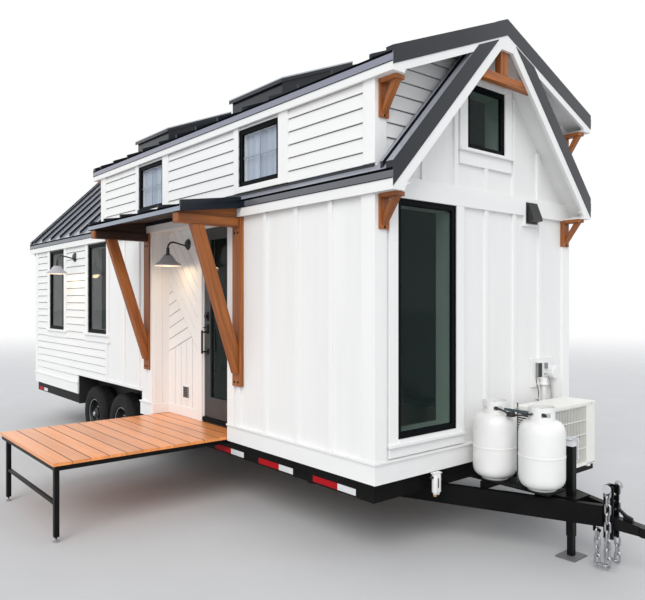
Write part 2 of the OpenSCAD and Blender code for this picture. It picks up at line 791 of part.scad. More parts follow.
module roof_metal() {
    upstand = 24;
    color("darkslategray") place() difference() {
        union() {
            slope(main_roof, x_rear_rake, x_dormer, 0, 0, metal_t);
            slope(front_roof, 0, x_rake, 0, 0, metal_t);
            eave_drip(main_roof, x_rear_rake - trim_t, x_rake + trim_t);
            both_sides() {
                prism_x(x_dormer, 0, slope_band(main_roof, y_wall, y_eave, 0, metal_t));
                block(x_dormer, 0, -y_wall - trim_t, -y_wall, roof_top(main_roof, y_wall) - 2,
                    roof_top(main_roof, y_wall) + upstand);
                prism_x(90, 90 + seam_w, slope_band(front_roof, 60, y_eave - 8, -seam_h, 1));
            }
            seams(main_roof, x_rear_rake + rake_cap_w, x_dormer_rake, 60);
            ridge_cap(main_roof, x_rear_rake, x_dormer_rake - 30);
            slope(main_roof, x_rear_rake, x_rear_rake + rake_cap_w, 0, -seam_h, 1);
            slope(main_roof, x_rear_rake - trim_t, x_rear_rake, 0, -seam_h, rake_drip);
            slope(front_roof, x_rake - rake_cap_w, x_rake, 0, -seam_h, 1);
            slope(front_roof, x_rake, x_rake + trim_t, 0, -seam_h, rake_drip);
        }
        above_dormer_soffit(x_dormer_rake - trim_t, x_dormer + 1, roof_t);
        above_dormer_soffit(-1, x_rake - fascia_t, roof_t);
        above_dormer_soffit(x_rake - fascia_t - 1, x_rake, dormer_barge_h + seat);
        above_dormer_soffit(x_rake - 1, x_rake + trim_t + 1, rake_drip + barge_reveal);
    }
}

module dormer_roof_metal() {
    color("darkslategray") place() difference() {
        union() {
            slope(dormer_roof, x_dormer_rake, x_rake, 0, 0, metal_t);
            eave_drip(dormer_roof, x_dormer_rake - trim_t, x_rake + trim_t);
            seams(dormer_roof, x_dormer_rake + rake_cap_w, x_rake - rake_cap_w, 60);
            ridge_cap(dormer_roof, x_dormer_rake, x_rake);
            slope(dormer_roof, x_dormer_rake, x_dormer_rake + rake_cap_w, 0, -seam_h, 1);
            slope(dormer_roof, x_rake - rake_cap_w, x_rake, 0, -seam_h, 1);
            slope(dormer_roof, x_rake, x_rake + trim_t, 0, -seam_h, rake_drip);
            difference() {
                slope(dormer_roof, x_dormer_rake - trim_t, x_dormer_rake, 0, -seam_h, rake_drip);
                under_main(x_dormer_rake - 10, x_dormer_rake + 1, -seat);
            }
        }
        for (x = sky_x) {
            sky_prism(x, -60, -60, -10, roof_t);
            sky_prism(x, 1, 1, -sky_h - 60, 0);
        }
    }
}

module fascia_board(x0, x1, z_top, h) {
    block(x0, x1, -y_eave, -y_eave + fascia_t, z_top - h, z_top - 1.5 * metal_t);
}

module eave_return(x0, x1, z) {
    block(x0, x1, -y_eave + fascia_t - 1, -y_eave + fascia_t + 100, z, z + 15);
}
module fascia_boards() {
    y_in = y_eave - fascia_t + 1;
    gap = 1.5 * metal_t;
    color("white") place() both_sides() {
        eave_return(0, x_rake - fascia_t, fascia_z);
        eave_return(0, x_rake - fascia_t, dormer_fascia_z);
        eave_return(x_rear_rake + fascia_t, x_rear, fascia_z);
        eave_return(x_dormer_rake + fascia_t, x_dormer, dormer_fascia_z);
        fascia_board(x_rear_rake + fascia_t, x_rake - fascia_t, eave_z, fascia_h);
        fascia_board(x_dormer_rake + fascia_t, x_rake - fascia_t, dormer_eave_z, dormer_fascia_h);
        prism_x(x_dormer, 0, [[-y_in, fascia_z + 30], [-y_wall, fascia_z + 40],
            [-y_wall, roof_top(main_roof, y_wall) - gap], [-y_in, roof_top(main_roof, y_in) - gap]]);
    }
}

// A barge board with a level foot, which a quarter round of radius r leaves at its inner corner
module barge(roof, x0, depth, z_cut, r) {
    x1 = x0 + fascia_t;
    both_sides() difference() {
        intersection() {
            union() {
                prism_x(x0, x1, slope_band(roof, 0, y_eave, metal_t, depth));
                block(x0, x1, -y_eave, -y_eave + foot_w + r, z_cut, z_cut + r + 5);
            }
            block(x0 - 1, x1 + 1, -y_eave, 0, z_cut, roof_top(roof, 0));
            prism_x(x0 - 1, x1 + 1, below_roof(roof, y_eave, metal_t, 0));
        }
        translate([x0 - 1, -y_eave + foot_w + r, z_cut]) rotate([0, 90, 0]) cylinder(h = fascia_t + 2,
            r = r);
    }
}

module barge_boards() {
    x0 = x_rake - fascia_t;
    foot_r = 55;
    dormer_foot_r = 40;
    color("white") place() {
        barge(main_roof, x_rear_rake, barge_h, fascia_z, foot_r);
        intersection() {
            union() {
                barge(front_roof, x0, barge_h, fascia_z, foot_r);
                block(x0, x_rake, -apex_w, apex_w, roof_at(front_roof, apex_w, barge_h), ridge_z);
            }
            prism_x(x0 - 1, x_rake + 1, below_roof(dormer_roof, y_eave + 1, dormer_barge_h + seat, 0));
        }
        barge(dormer_roof, x0, dormer_barge_h, dormer_fascia_z, dormer_foot_r);
        difference() {
            barge(dormer_roof, x_dormer_rake, dormer_barge_h, dormer_fascia_z, dormer_foot_r);
            under_main(x_dormer_rake - 1, x_dormer_rake + fascia_t + 1, -seam_h - 2 * seat);
        }
    }
}

module skirt() {
    cap = 14;
    color("white") place() difference() {
        union() {
            block(x_rear - skirt_t, skirt_t, -y_wall - skirt_t, y_wall + skirt_t, skirt_z,
                skirt_z + skirt_h - cap);
            block(x_rear - skirt_t - 12, skirt_t + 12, -y_wall - skirt_t - 12, y_wall + skirt_t + 12,
                skirt_z + skirt_h - cap, skirt_z + skirt_h);
        }
        block(x_rear, 0, -y_wall, y_wall, 0, head_z);
        both_sides() block(well_x0, well_x1, -y_wall - 60, -y_wall + 1, 0, well_z);
        block(x_recess_rear, -recess_x, -y_wall - 60, -y_wall + 1, 0, head_z);
    }
}

// Windows
module frame_ring(w, h) {
    difference() {
        cube([w, frame_d, h]);
        translate([frame_w, -1, frame_w]) cube([w - 2 * frame_w, frame_d + 2, h - 2 * frame_w]);
    }
}
module pane(w, h) {
    edge = frame_w + seat;
    translate([edge, glass_set, edge]) cube([w - 2 * edge, glass_t, h - 2 * edge]);
}
// A cross of glazing bars on the outside of a pane
module pane_bars(w, h) {
    edge = frame_w + seat;
    translate([(w - bar_w) / 2, glass_set - seat - bar_t, edge]) cube([bar_w, bar_t, h - 2 * edge]);
    translate([edge, glass_set - seat - bar_t, (h - bar_w) / 2]) cube([w - 2 * edge, bar_t, bar_w]);
}
// Places a window's outer lower corner in the door side wall, clear of the hole by the seat
module at_side(xc, z0, w) { translate([-xc - w / 2, -y_wall - 8, z0]) children(); }
module at_front(yc, z0, w) { translate([8, yc - w / 2, z0]) rotate([0, 0, 90]) children(); }
module at_rear(yc, z0, w) { translate([x_rear - 8, yc + w / 2, z0]) rotate([0, 0, -90]) children(); }

module side_windows(glass) {
    g = 2 * seat;
    for (x = [side_win_x1, side_win_x2])
        at_side(x, side_win_z + seat, side_win_w - g)
            if (glass) pane(side_win_w - g, side_win_h - g); else frame_ring(side_win_w - g,
                side_win_h - g);
    for (x = [dormer_win_x1, dormer_win_x2])
        at_side(x, dormer_win_z + seat, dormer_win_w - g)
            if (glass) pane(dormer_win_w - g, dormer_win_h - g); else frame_ring(dormer_win_w - g,
                dormer_win_h - g);
}
module end_windows(glass) {
    g = 2 * seat;
    at_front(big_win_y, big_win_z + seat, big_win_w - g)
        if (glass) pane(big_win_w - g, big_win_h - g); else frame_ring(big_win_w - g, big_win_h - g);
    at_front(0, loft_win_z + seat, loft_win_w - g)
        if (glass) pane(loft_win_w - g, loft_win_h - g); else frame_ring(loft_win_w - g, loft_win_h - g);
    at_rear(0, rear_win_z + seat, loft_win_w - g)
        if (glass) pane(loft_win_w - g, loft_win_h - g); else frame_ring(loft_win_w - g, loft_win_h - g);
}
module window_frames_front() { color("black") place() end_windows(false); }
module window_frames_door() { color("black") place() side_windows(false); }
module window_frames_far() { color("black") place() mirror([0, 1, 0]) side_windows(false); }
module window_bars() {
    g = 2 * seat;
    color("lightgray") place() both_sides() for (x = [dormer_win_x1, dormer_win_x2])
        at_side(x, dormer_win_z + seat, dormer_win_w - g) pane_bars(dormer_win_w - g, dormer_win_h - g);
}
module window_glass() {
    color("lightblue") place() {
        both_sides() side_windows(true);
        end_windows(true);
    }
}

// Door
hinge_x = door_x1 - 3;
hinge_y = y_recess - 8;
hinge_z = [door_z0 + 180, (door_z0 + door_z1) / 2, door_z1 - 180];
module door_frame() {
    x0 = door_x0 - door_gap;
    x1 = door_x1 + door_gap;
    color("white") place() {
        difference() {
            block(x0 - jamb_w + seat, x1 + jamb_w - seat, y_recess - 12, y_recess + wall_t, wall_z,
                head_z + 16);
            block(x0, x1, y_recess - 13, y_recess + wall_t + 1, floor_z - 2, head_z + door_gap - 3);
        }
        difference() {
            block(x0 - 1, x0 + 14, y_recess + door_t + 8, y_recess + door_t + 24, floor_z - 3, head_z + 6);
            block(x0 + 15, x1 - 15, y_recess, y_recess + wall_t, floor_z, head_z - 12);
        }
        for (z = hinge_z) {
            translate([hinge_x, hinge_y, z - 60]) cylinder(h = 120, r = 4);
            for (z0 = [z - 60, z + 30.5]) {
                translate([hinge_x, hinge_y, z0]) cylinder(h = 29.5, r = 7);
                block(hinge_x, x1 + 25, y_recess - 15, y_recess - 11.5, z0, z0 + 29.5);
            }
        }
    }
}

module door_leaf() {
    color("dimgray") place() {
        difference() {
            block(door_x0, door_x1, y_recess, y_recess + door_t, door_z0, door_z1);
            block(door_x0 + stile_w, door_x1 - stile_w, y_recess - 1, y_recess + door_t + 1,
                door_z0 + kick_h, door_z1 - stile_w);
        }
        for (z = hinge_z) {
            difference() {
                union() {
                    translate([hinge_x, hinge_y, z - 30]) cylinder(h = 60, r = 7);
                    block(door_x1 - 32, hinge_x, y_recess - 3, y_recess + 0.5, z - 30, z + 30);
                }
                translate([hinge_x, hinge_y, z - 31]) cylinder(h = 62, r = 4.1);
            }
        }
    }
}

module door_glass() {
    color("lightblue") place()
        block(door_x0 + stile_w + seat, door_x1 - stile_w - seat,
            y_recess + glass_set, y_recess + glass_set + glass_t,
            door_z0 + kick_h + seat, door_z1 - stile_w - seat);
}

module door_handle() {
    x = door_x0 + 45;
    plate_w = 52;
    y = y_recess - seat;
    color("black") place() {
        for (z = [[1300, 1362], [1514, 1608], [1641, 1735]])
            block(x - plate_w / 2, x + plate_w / 2, y - 12, y, z[0], z[1]);
        for (z = [1330, 1530])
            rod_y(x, z, y - 60, y - 11, 8);
        translate([x, y - 60, 1312]) cylinder(h = 236, r = 10);
        block(x - 14, x + 14, y - 42, y - 11, 1572, 1580);
        rod_y(x, 1688, y - 24, y - 11, 21);
    }
}

// Awning
post_x = [awning_x + 93, awning_x + awning_len - 107];
y_post = -y_wall - post_t;
y_awning = -y_wall - awning_reach;
beam_z = fascia_z - 10 - beam_h;
awning_top = eave_z - 8;
awning_low = awning_top - awning_fall;
awning_drip = 60;

module awning_posts() {
    color("peru") place() for (x = post_x)
        block(-x - post_w / 2, -x + post_w / 2, y_post, -y_wall, post_z, fascia_z - 2);
}
module awning_braces() {
    top_y = y_awning + brace_top;
    toe_y = y_post - brace_toe;
    toe_z = post_z + brace_z;
    heel_z = beam_z + (toe_z - beam_z) * (y_post - top_y - brace_w) / (toe_y - top_y);
    half = beam_w / 2 - 8;
    color("peru") place() for (x = post_x)
        prism_x(-x - half, -x + half, [[top_y, beam_z], [top_y + brace_w, beam_z], [y_post, heel_z],
            [y_post, toe_z], [toe_y, toe_z]]);
}
// Height of the awning roof surface
function awning_z(y) = awning_low + (y - y_awning) * (awning_top - awning_low) / (-y_eave - trim_t - y_awning);
module awning_band(x0, x1, y0, y1, d0, d1) {
    prism_x(x0, x1, [[y0, awning_z(y0) - d0], [y1, awning_z(y1) - d0], [y1, awning_z(y1) - d1], [y0,
        awning_z(y0) - d1]]);
}
module awning_beams() {
    y_end = -y_eave - trim_t - seat;
    color("peru") place() {
        for (x = post_x) {
            block(-x - beam_w / 2, -x + beam_w / 2, y_awning + 8, y_post, beam_z, beam_z + beam_h);
            prism_x(-x - 22, -x + 22, [[y_awning + 12, beam_z + beam_h - 1], [y_end, beam_z + beam_h - 1],
                [y_end, awning_z(y_end) - 25], [y_awning + 12, awning_z(y_awning + 12) - 25]]);
        }
        awning_band(-awning_x - awning_len + 8, -awning_x - 8, y_awning + 8, y_end, metal_t + seat, 26);
    }
}
module awning_roof() {
    x1 = -awning_x;
    x0 = x1 - awning_len;
    y1 = -y_eave - trim_t;
    n = floor(awning_len / seam_gap);
    color("darkslategray") place() {
        awning_band(x0, x1, y_awning, y1, 0, metal_t);
        block(x0, x1, y_awning, y_awning + trim_t, awning_low - awning_drip, awning_low);
        for (x = [x0, x1 - trim_t])
            prism_x(x, x + trim_t, [[y_awning, awning_low - awning_drip], [y1,
                awning_top - awning_drip - 8],
                [y1, awning_top], [y_awning, awning_low]]);
        for (i = [0:n])
            awning_band(x0 + (awning_len - n * seam_gap) / 2 + i * seam_gap - seam_w / 2,
                x0 + (awning_len - n * seam_gap) / 2 + i * seam_gap + seam_w / 2, y_awning + 6, y1,
                    -seam_h, 1);
    }
}

// Cedar work on the gables
module knee(x, dir, z_top, h) {
    y0 = -y_wall + 15;
    translate([x, 0, 0]) mirror([dir > 0 ? 0 : 1, 0, 0]) {
        block(0, knee_t, y0, y0 + knee_w, z_top - h, z_top);
        block(0, knee_reach, y0, y0 + knee_w, z_top - knee_t + 8, z_top);
        prism_y(y0 + 18, y0 + knee_w - 18, [[knee_t - 1, z_top - h + 25], [knee_t - 1, z_top - h + 75],
            [knee_reach - 60, z_top - knee_t + 9], [knee_reach - 12, z_top - knee_t + 9]]);
    }
}
module knee_brackets() {
    low = fascia_z - seat;
    high = dormer_fascia_z - seat;
    color("peru") place() both_sides() {
        knee(0, 1, low, knee_h);
        knee(0, 1, high, dormer_knee_h);
        knee(x_dormer, -1, high, dormer_knee_h);
        knee(x_rear, -1, low, knee_h);
    }
}

module gable_truss() {
    x1 = x_rake - fascia_t;
    color("peru") place() intersection() {
        union() {
            block(x1 - 60, x1 - seat, -y_wall, y_wall, collar_z, collar_z + collar_h);
            block(x1 - 60, x1 - seat, -king_w / 2, king_w / 2, collar_z + collar_h - 1, ridge_z);
        }
        prism_x(x1 - 61, x1, below_roof(front_roof, y_eave, roof_t + seat, 0));
        prism_x(x1 - 61, x1, below_roof(dormer_roof, y_eave, roof_t + seat, 0));
    }
}

// Deck
deck_x1 = -recess_x - 9;
deck_x0 = deck_x1 - deck_len;
deck_y1 = y_recess - 14;
module deck_boards() {
    w = (deck_y1 - y_deck - (board_count - 1) * board_gap) / board_count;
    color("chocolate") place() for (i = [0:board_count - 1])
        block(deck_x0, deck_x1, y_deck + i * (w + board_gap), y_deck + i * (w + board_gap) + w,
            deck_z - board_t, deck_z);
}
frame_y0 = y_deck + 12;
frame_y1 = -y_wall + frame_in - seat;
deck_low = deck_z - board_t - tube_w;
leg_x = [deck_x0 + leg_inset, deck_x1 - 10 - tube_w];
module deck_frame() {
    bay = (deck_len - 20 - 4 * tube_w) / 3;
    color("black") place() {
        difference() {
            block(deck_x0 + 10, deck_x1 - 10, frame_y0, frame_y1, deck_low, deck_z - board_t);
            for (i = [0:2]) {
                x = deck_x0 + 10 + tube_w + i * (bay + tube_w);
                block(x, x + bay, frame_y0 + tube_w, frame_y1 - tube_w, deck_low - 1, deck_z);
            }
        }
        for (x = leg_x) {
            block(x, x + tube_w, frame_y0, frame_y0 + tube_w, 40, deck_low + 1);
            translate([x + tube_w / 2, frame_y0 + tube_w / 2, 0]) {
                cylinder(h = 8, r = 24);
                cylinder(h = 45, r = 7);
            }
        }
        block(leg_x[0] + 1, leg_x[1] + 1, frame_y0 + 6, frame_y0 + 32, deck_bar_z, deck_bar_z + 26);
    }
}

// Equipment on the tongue
module tank() {
    r = tank_d / 2;
    collar_r = 92;
    collar_h = 105;
    foot_r = 100;
    wall = 4;
    z1 = tank_h - collar_h;
    weld_z = z1 / 2;
    rotate_extrude() polygon([[0, 16], [80, 16], [118, 24], [r - 18, 52], [r - 4, 88], [r, 118], [r,
        weld_z - 8],
        [r + 3, weld_z - 5], [r + 3, weld_z + 5], [r, weld_z + 8], [r, z1 - 84], [r - 4, z1 - 52],
            [r - 16, z1 - 24],
        [r - 38, z1 - 5], [95, z1 + 6], [40, z1 + 10], [0, z1 + 10]]);
    difference() {
        cylinder(h = 40, r = foot_r);
        translate([0, 0, -1]) cylinder(h = 31, r = foot_r - wall);
    }
    difference() {
        translate([0, 0, z1 + 2]) cylinder(h = collar_h - 2, r = collar_r);
        translate([0, 0, z1 + 11]) cylinder(h = collar_h, r = collar_r - wall);
        rotate([0, 0, 50]) {
            block(-32, 32, -200, 0, z1 + 38, z1 + 70);
            rotate([0, 0, -65]) translate([0, 0, z1 + 56]) rotate([90, 0, 0]) cylinder(h = 200, r = 18);
        }
    }
    translate([0, 0, z1 + 9]) cylinder(h = 50, r = 16);
    translate([0, 0, z1 + 50]) cylinder(h = 14, r = 28);
}
module gas_tanks() {
    color("white") place() for (x = [tank_x, tank_x + tank_gap]) translate([x, -tank_y,
        tray_z + seat]) tank();
}

foot_h = 10;
unit_z = frame_z + 22;
bearer_top = unit_z - foot_h - seat;
unit_foot_y = [unit_y + 90, unit_y + unit_w - 130];
module tank_tray() {
    tray_t = 8;
    bearer_w = 30;
    y_end = unit_y + unit_w - 10;
    color("black") place() {
        block(tank_x - 150, tank_x + tank_gap + 125, -tank_y - 125, -tank_y + 125, tray_z - tray_t, tray_z);
        block(tank_x - 25, tank_x + 25, -tank_y - 150, -tank_y + 60, frame_z, tray_z - tray_t);
        block(tank_x + tank_gap - 60, tank_x + tank_gap - 10, -tank_y, tank_y - 30, frame_z,
            tray_z - tray_t);
        for (x = [unit_x + 20, unit_x + unit_d - bearer_w - 10])
            block(x, x + bearer_w, rail_outer(x) + seat, y_end, bearer_top - bearer_h, bearer_top);
        block(unit_x + 20 + bearer_w + seat, unit_x + unit_d - bearer_w - 10 - seat, y_end - bearer_w,
            y_end,
            bearer_top - bearer_h, bearer_top);
        block(unit_x + 105, unit_x + 165, unit_foot_y[0] + 5, unit_foot_y[0] + 40, frame_z, bearer_top);
    }
}

module outdoor_unit() {
    x1 = unit_x + unit_d;
    gy0 = unit_y + grille_edge;
    gy1 = gy0 + grille_w;
    gz0 = unit_z + grille_edge;
    gz1 = unit_z + unit_h - grille_edge;
    fan_y = (gy0 + gy1) / 2;
    fan_z = (gz0 + gz1) / 2;
    fins = floor(grille_w / fin_gap);
    color("ivory") place() {
        difference() {
            block(unit_x, x1, unit_y, unit_y + unit_w, unit_z, unit_z + unit_h);
            block(x1 - grille_d, x1 + 1, gy0, gy1, gz0, gz1);
        }
        for (i = [1:fins - 1])
            translate([0, gy0 + i * grille_w / fins, 0]) block(x1 - 10, x1 - 2, -1.5, 1.5, gz0 - 1,
                gz1 + 1);
        for (i = [1:3])
            translate([0, 0, gz0 + i * (gz1 - gz0) / 4]) block(x1 - 8, x1 - 1, gy0 - 1, gy1 + 1, -3, 3);
        translate([x1 - grille_d - 1, fan_y, fan_z]) rotate([0, 90, 0]) {
            cylinder(h = 40, r = 45);
            for (i = [0:4])
                rotate([0, 0, i * 72]) translate([0, -30, 5]) rotate([20, 0, 0]) cube([fan_d / 2, 70, 4]);
        }
        for (y = unit_foot_y)
            block(unit_x - 5, x1 + 10, y, y + 40, unit_z - foot_h, unit_z + 1);
    }
}

module inlet_box() {
    color("white") place() {
        block(seat, 18, 650, 1000, 1092, 1339);
        block(17, 70, 735, 835, 1165, 1290);
        translate([0, 915, 1210]) rotate([0, 90, 0]) cylinder(h = 105, r = 52);
        block(17, 60, 930, 990, 1040, 1200);
    }
}

// Lamps: a gooseneck arm from a domed wall plate, with a spun shade
module lamp(reach) {
    arm_r = 9;
    rise = 12;
    bend = 60;
    plate_d = 40;
    drop = 20;
    socket_h = 68;
    shade_r = shade_d / 2;
    // The arm leaves the plate at an angle and bends over into the socket
    arm_y = plate_d - 12;
    arm_l = reach - bend * (1 + sin(rise)) - arm_y;
    y_bend = -reach + bend;
    z_bend = arm_l * tan(rise) - drop - bend * cos(rise);
    z_shade = z_bend - socket_h;
    rotate([90, 0, 0])
        rotate_extrude() polygon([[0, 0], [66, 0], [66, 8], [60, 18], [46, 32], [32, plate_d], [0,
            plate_d]]);
    translate([0, -arm_y, -drop]) rotate([90 - rise, 0, 0])
        cylinder(h = arm_l / cos(rise) + 4, r = arm_r - 0.5, $fn = 32);
    translate([0, y_bend, z_bend]) rotate([90, 0, -90])
        rotate_extrude(angle = 90 + rise, $fn = 48) translate([bend, 0]) circle(r = arm_r, $fn = 32);
    translate([0, -reach, z_shade]) cylinder(h = socket_h + 1, r1 = 20, r2 = 15, $fn = 48);
    translate([0, -reach, z_shade]) rotate_extrude() polygon([[0, 0], [24, 0], [40, -9], [60, -32],
        [84, -66],
        [shade_r - 24, 30 - shade_h], [shade_r - 8, 20 - shade_h], [shade_r, 12 - shade_h], [shade_r,
            -shade_h],
        [shade_r - 4, -shade_h], [shade_r - 5, 10 - shade_h], [shade_r - 12, 16 - shade_h],
        [shade_r - 28, 26 - shade_h], [80, -71], [56, -37], [37, -14], [0, -5]]);
}
module barn_lights() {
    color("lightgray") place() {
        translate([x_recess_rear + lamp_entry, y_recess - seat, lamp_z]) lamp(lamp_reach);
        translate([-side_win_x1 + lamp_side, -y_wall - seat, lamp_z]) lamp(lamp_reach);
    }
}

module skylights() {
    color("darkslategray") place() for (x = sky_x) {
        difference() {
            union() {
                sky_prism(x, 0, 0, -sky_h, -seat);
                sky_prism(x, 25, 25, -sky_h - 38, -sky_h + 1);
            }
            sky_prism(x, -50, -50, -sky_h - 100, 1);
        }
        sky_prism(x, -49, -49, -sky_h - 30, -sky_h - 24);
    }
}

trailer_frame();
tongue();
coupler();
jack_tube();
jack_leg();
safety_chains();
axles();
tyre_door_front();
tyre_door_rear();
tyre_far_front();
tyre_far_rear();
wheel_door_front();
wheel_door_rear();
wheel_far_front();
wheel_far_rear();
wheel_wells();
floor();
wall_front();
wall_rear();
wall_door_front();
wall_door_rear();
wall_far_side();
recess_walls();
dormer_wall_door();
dormer_wall_far();
dormer_back_wall();
roof_deck();
dormer_roof_deck();
roof_metal();
dormer_roof_metal();
fascia_boards();
barge_boards();
skirt();
window_frames_front();
window_frames_door();
window_frames_far();
window_bars();
window_glass();
door_frame();
door_leaf();
door_glass();
door_handle();
awning_posts();
awning_braces();
awning_beams();
awning_roof();
knee_brackets();
gable_truss();
deck_boards();
deck_frame();
gas_tanks();
tank_tray();
outdoor_unit();
inlet_box();
barn_lights();
skylights();
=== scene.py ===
"""Tiny house on wheels: siding, trims, cedar work, lamps, running gear details and materials."""
import math
import random
import bmesh
import bpy
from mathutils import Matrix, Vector


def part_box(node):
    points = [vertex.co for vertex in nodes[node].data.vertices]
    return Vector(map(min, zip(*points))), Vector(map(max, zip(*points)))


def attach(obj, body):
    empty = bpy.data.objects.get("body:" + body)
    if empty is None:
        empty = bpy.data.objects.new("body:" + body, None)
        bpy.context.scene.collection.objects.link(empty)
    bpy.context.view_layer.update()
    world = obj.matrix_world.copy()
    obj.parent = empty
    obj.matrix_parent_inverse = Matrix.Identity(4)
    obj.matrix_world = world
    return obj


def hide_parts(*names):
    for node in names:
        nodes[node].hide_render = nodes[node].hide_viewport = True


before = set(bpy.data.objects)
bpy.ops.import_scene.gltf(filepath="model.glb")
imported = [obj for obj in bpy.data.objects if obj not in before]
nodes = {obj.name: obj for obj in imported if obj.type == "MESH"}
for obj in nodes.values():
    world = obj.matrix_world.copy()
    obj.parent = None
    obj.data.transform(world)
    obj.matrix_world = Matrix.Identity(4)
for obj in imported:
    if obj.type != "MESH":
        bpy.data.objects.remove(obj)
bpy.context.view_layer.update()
scene = bpy.context.scene

# House coordinates in millimetres, as in the part's source: x from the front wall face towards
# the hitch, y from the middle (the door side is -y), z up from the ground
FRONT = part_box("wall_front")
ORIGIN = Vector((FRONT[1][0], (FRONT[0][1] + FRONT[1][1]) / 2, 0))
X_REAR, Y_WALL, Y_ENTRY, X_RECESS = -7620, 1250, -1050, (-3448, -1891)
X_DORMER, RIDGE, EAVE, FASCIA = -4893, 4030, 2735, 2590
SLOPE_LOW, SLOPE_FRONT = math.tan(math.radians(22)), math.tan(math.radians(47))
RIDGE_FRONT = EAVE + 1295 * SLOPE_FRONT
DORMER_EAVE = RIDGE - 1295 * SLOPE_LOW
DORMER_FASCIA = DORMER_EAVE - 128
# Foot of the dormer walls' trim, and top of the skirt with its cap
DORMER_FOOT, SKIRT = 2800, 733
AXLES = -4860
# The wheel wells: ends along x, and top
WELL = (-5752.5, -3740.5, 832)
# Number of deck boards, and the gap between them in metres
DECK_BOARDS, DECK_GAP = 12, 0.004


# Shader nodes
def fill(tree, made, inputs):
    """Gives a node its inputs: values, sockets, or nodes whose first output is meant."""
    for key, value in inputs.items():
        if isinstance(value, bpy.types.Node):
            value = value.outputs[0]
        if isinstance(value, bpy.types.NodeSocket):
            tree.links.new(value, made.inputs[key])
        else:
            made.inputs[key].default_value = value


def add(tree, kind, inputs=None, **settings):
    made = tree.nodes.new("ShaderNode" + kind)
    for name, value in settings.items():
        setattr(made, name, value)
    fill(tree, made, inputs or {})
    return made


def calc(tree, operation, *values, kind="Math"):
    return add(tree, kind, dict(enumerate(values)), operation=operation)


def two_tones(tree, factor, low_tone, high_tone, low=0.0, high=1.0):
    ramp = add(tree, "ValToRGB", {0: factor})
    for point, place, tone in zip(ramp.color_ramp.elements, (low, high), (low_tone, high_tone)):
        point.position = place
        point.color = (*tone, 1)
    return ramp


def ranged(tree, value, to_min, to_max, from_min=0.0, from_max=1.0, **settings):
    limits = {"From Min": from_min, "From Max": from_max, "To Min": to_min, "To Max": to_max}
    return add(tree, "MapRange", {"Value": value, **limits}, **settings)


def blank(name):
    """A new material, its tree and its shader."""
    made = bpy.data.materials.new(name)
    made.use_nodes = True
    return made, made.node_tree, made.node_tree.nodes["Principled BSDF"]


def coordinates(tree, space):
    """The grain of a built piece, or the object's own coordinates."""
    if space == "grain":
        return add(tree, "Attribute", attribute_name="grain").outputs["Vector"]
    return add(tree, "TexCoord").outputs["Object"]


def put(name, data):
    """A new object in the scene."""
    obj = bpy.data.objects.new(name, data)
    scene.collection.objects.link(obj)
    return obj


# Camera, lamps, floor
def camera():
    data = bpy.data.cameras.new("camera")
    data.sensor_width, data.sensor_fit, data.lens = 36, "HORIZONTAL", 36.31
    data.clip_end = 500
    obj = put("camera", data)
    obj.location = (6.4625, -3.6515, 1.856)
    obj.rotation_euler = (math.radians(90), 0, math.radians(50.1))
    scene.camera = obj


def lamps():
    """A soft sky with a white backdrop, and one wide lamp from the door side."""
    world = bpy.data.worlds.new("studio")
    scene.world = world
    world.use_nodes = True
    tree = world.node_tree
    tree.nodes.clear()
    ray = add(tree, "LightPath").outputs
    seen = calc(tree, "MAXIMUM", ray["Is Camera Ray"], ray["Is Glossy Ray"])
    seen = calc(tree, "MAXIMUM", seen, ray["Is Transmission Ray"])
    sky = add(tree, "Background", {0: (0.93, 0.96, 1.0, 1), 1: 0.97})
    backdrop = add(tree, "Background", {0: (1, 1, 1, 1), 1: 1.0})
    add(tree, "OutputWorld", {0: add(tree, "MixShader", {0: seen, 1: sky, 2: backdrop})})
    sun = bpy.data.lights.new("sky_light", "SUN")
    sun.energy, sun.angle, sun.color = 1.6, math.radians(40), (1.0, 0.98, 0.95)
    put("sky_light", sun).rotation_euler = (math.radians(52), 0, math.radians(35))


def floor():
    """A pale floor that fades to the white of the backdrop far from the house."""
    mesh = bpy.data.meshes.new("floor")
    bm = bmesh.new()
    bmesh.ops.create_circle(bm, cap_ends=True, radius=120, segments=96)
    bm.to_mesh(mesh)
    bm.free()
    obj = put("studio_floor", mesh)
    m, t, shader = blank("studio_floor")
    place = coordinates(t, "object")
    noise = add(t, "TexNoise", {"Scale": 1.4, "Detail": 5, "Vector": place})
    fill(t, shader, {"Roughness": 0.85,
                     "Base Color": two_tones(t, noise, (0.50, 0.50, 0.505), (0.56, 0.56, 0.565))})
    away = calc(t, "LENGTH", place, kind="VectorMath").outputs["Value"]
    far = ranged(t, away, 0, 1, 9, 32, interpolation_type="SMOOTHSTEP")
    camera_ray = add(t, "LightPath").outputs["Is Camera Ray"]
    seen = calc(t, "MULTIPLY", far, camera_ray)
    white = add(t, "Emission", {"Strength": 1.0})
    mix = add(t, "MixShader", {0: seen, 1: shader, 2: white})
    fill(t, t.nodes["Material Output"], {"Surface": mix})
    mesh.materials.append(m)


# Materials
def inside(t, place, lo, hi):
    """1 inside a box given in house millimetres, 0 outside."""
    lo, hi = ORIGIN + Vector(lo) / 1000, ORIGIN + Vector(hi) / 1000
    place = calc(t, "SUBTRACT", place, (lo + hi) / 2, kind="VectorMath")
    place = calc(t, "ABSOLUTE", place, kind="VectorMath")
    place = calc(t, "SUBTRACT", place, (hi - lo) / 2, kind="VectorMath")
    x, y, z = add(t, "SeparateXYZ", {0: place}).outputs
    most = calc(t, "MAXIMUM", calc(t, "MAXIMUM", x, y), z)
    return calc(t, "LESS_THAN", most, 0)


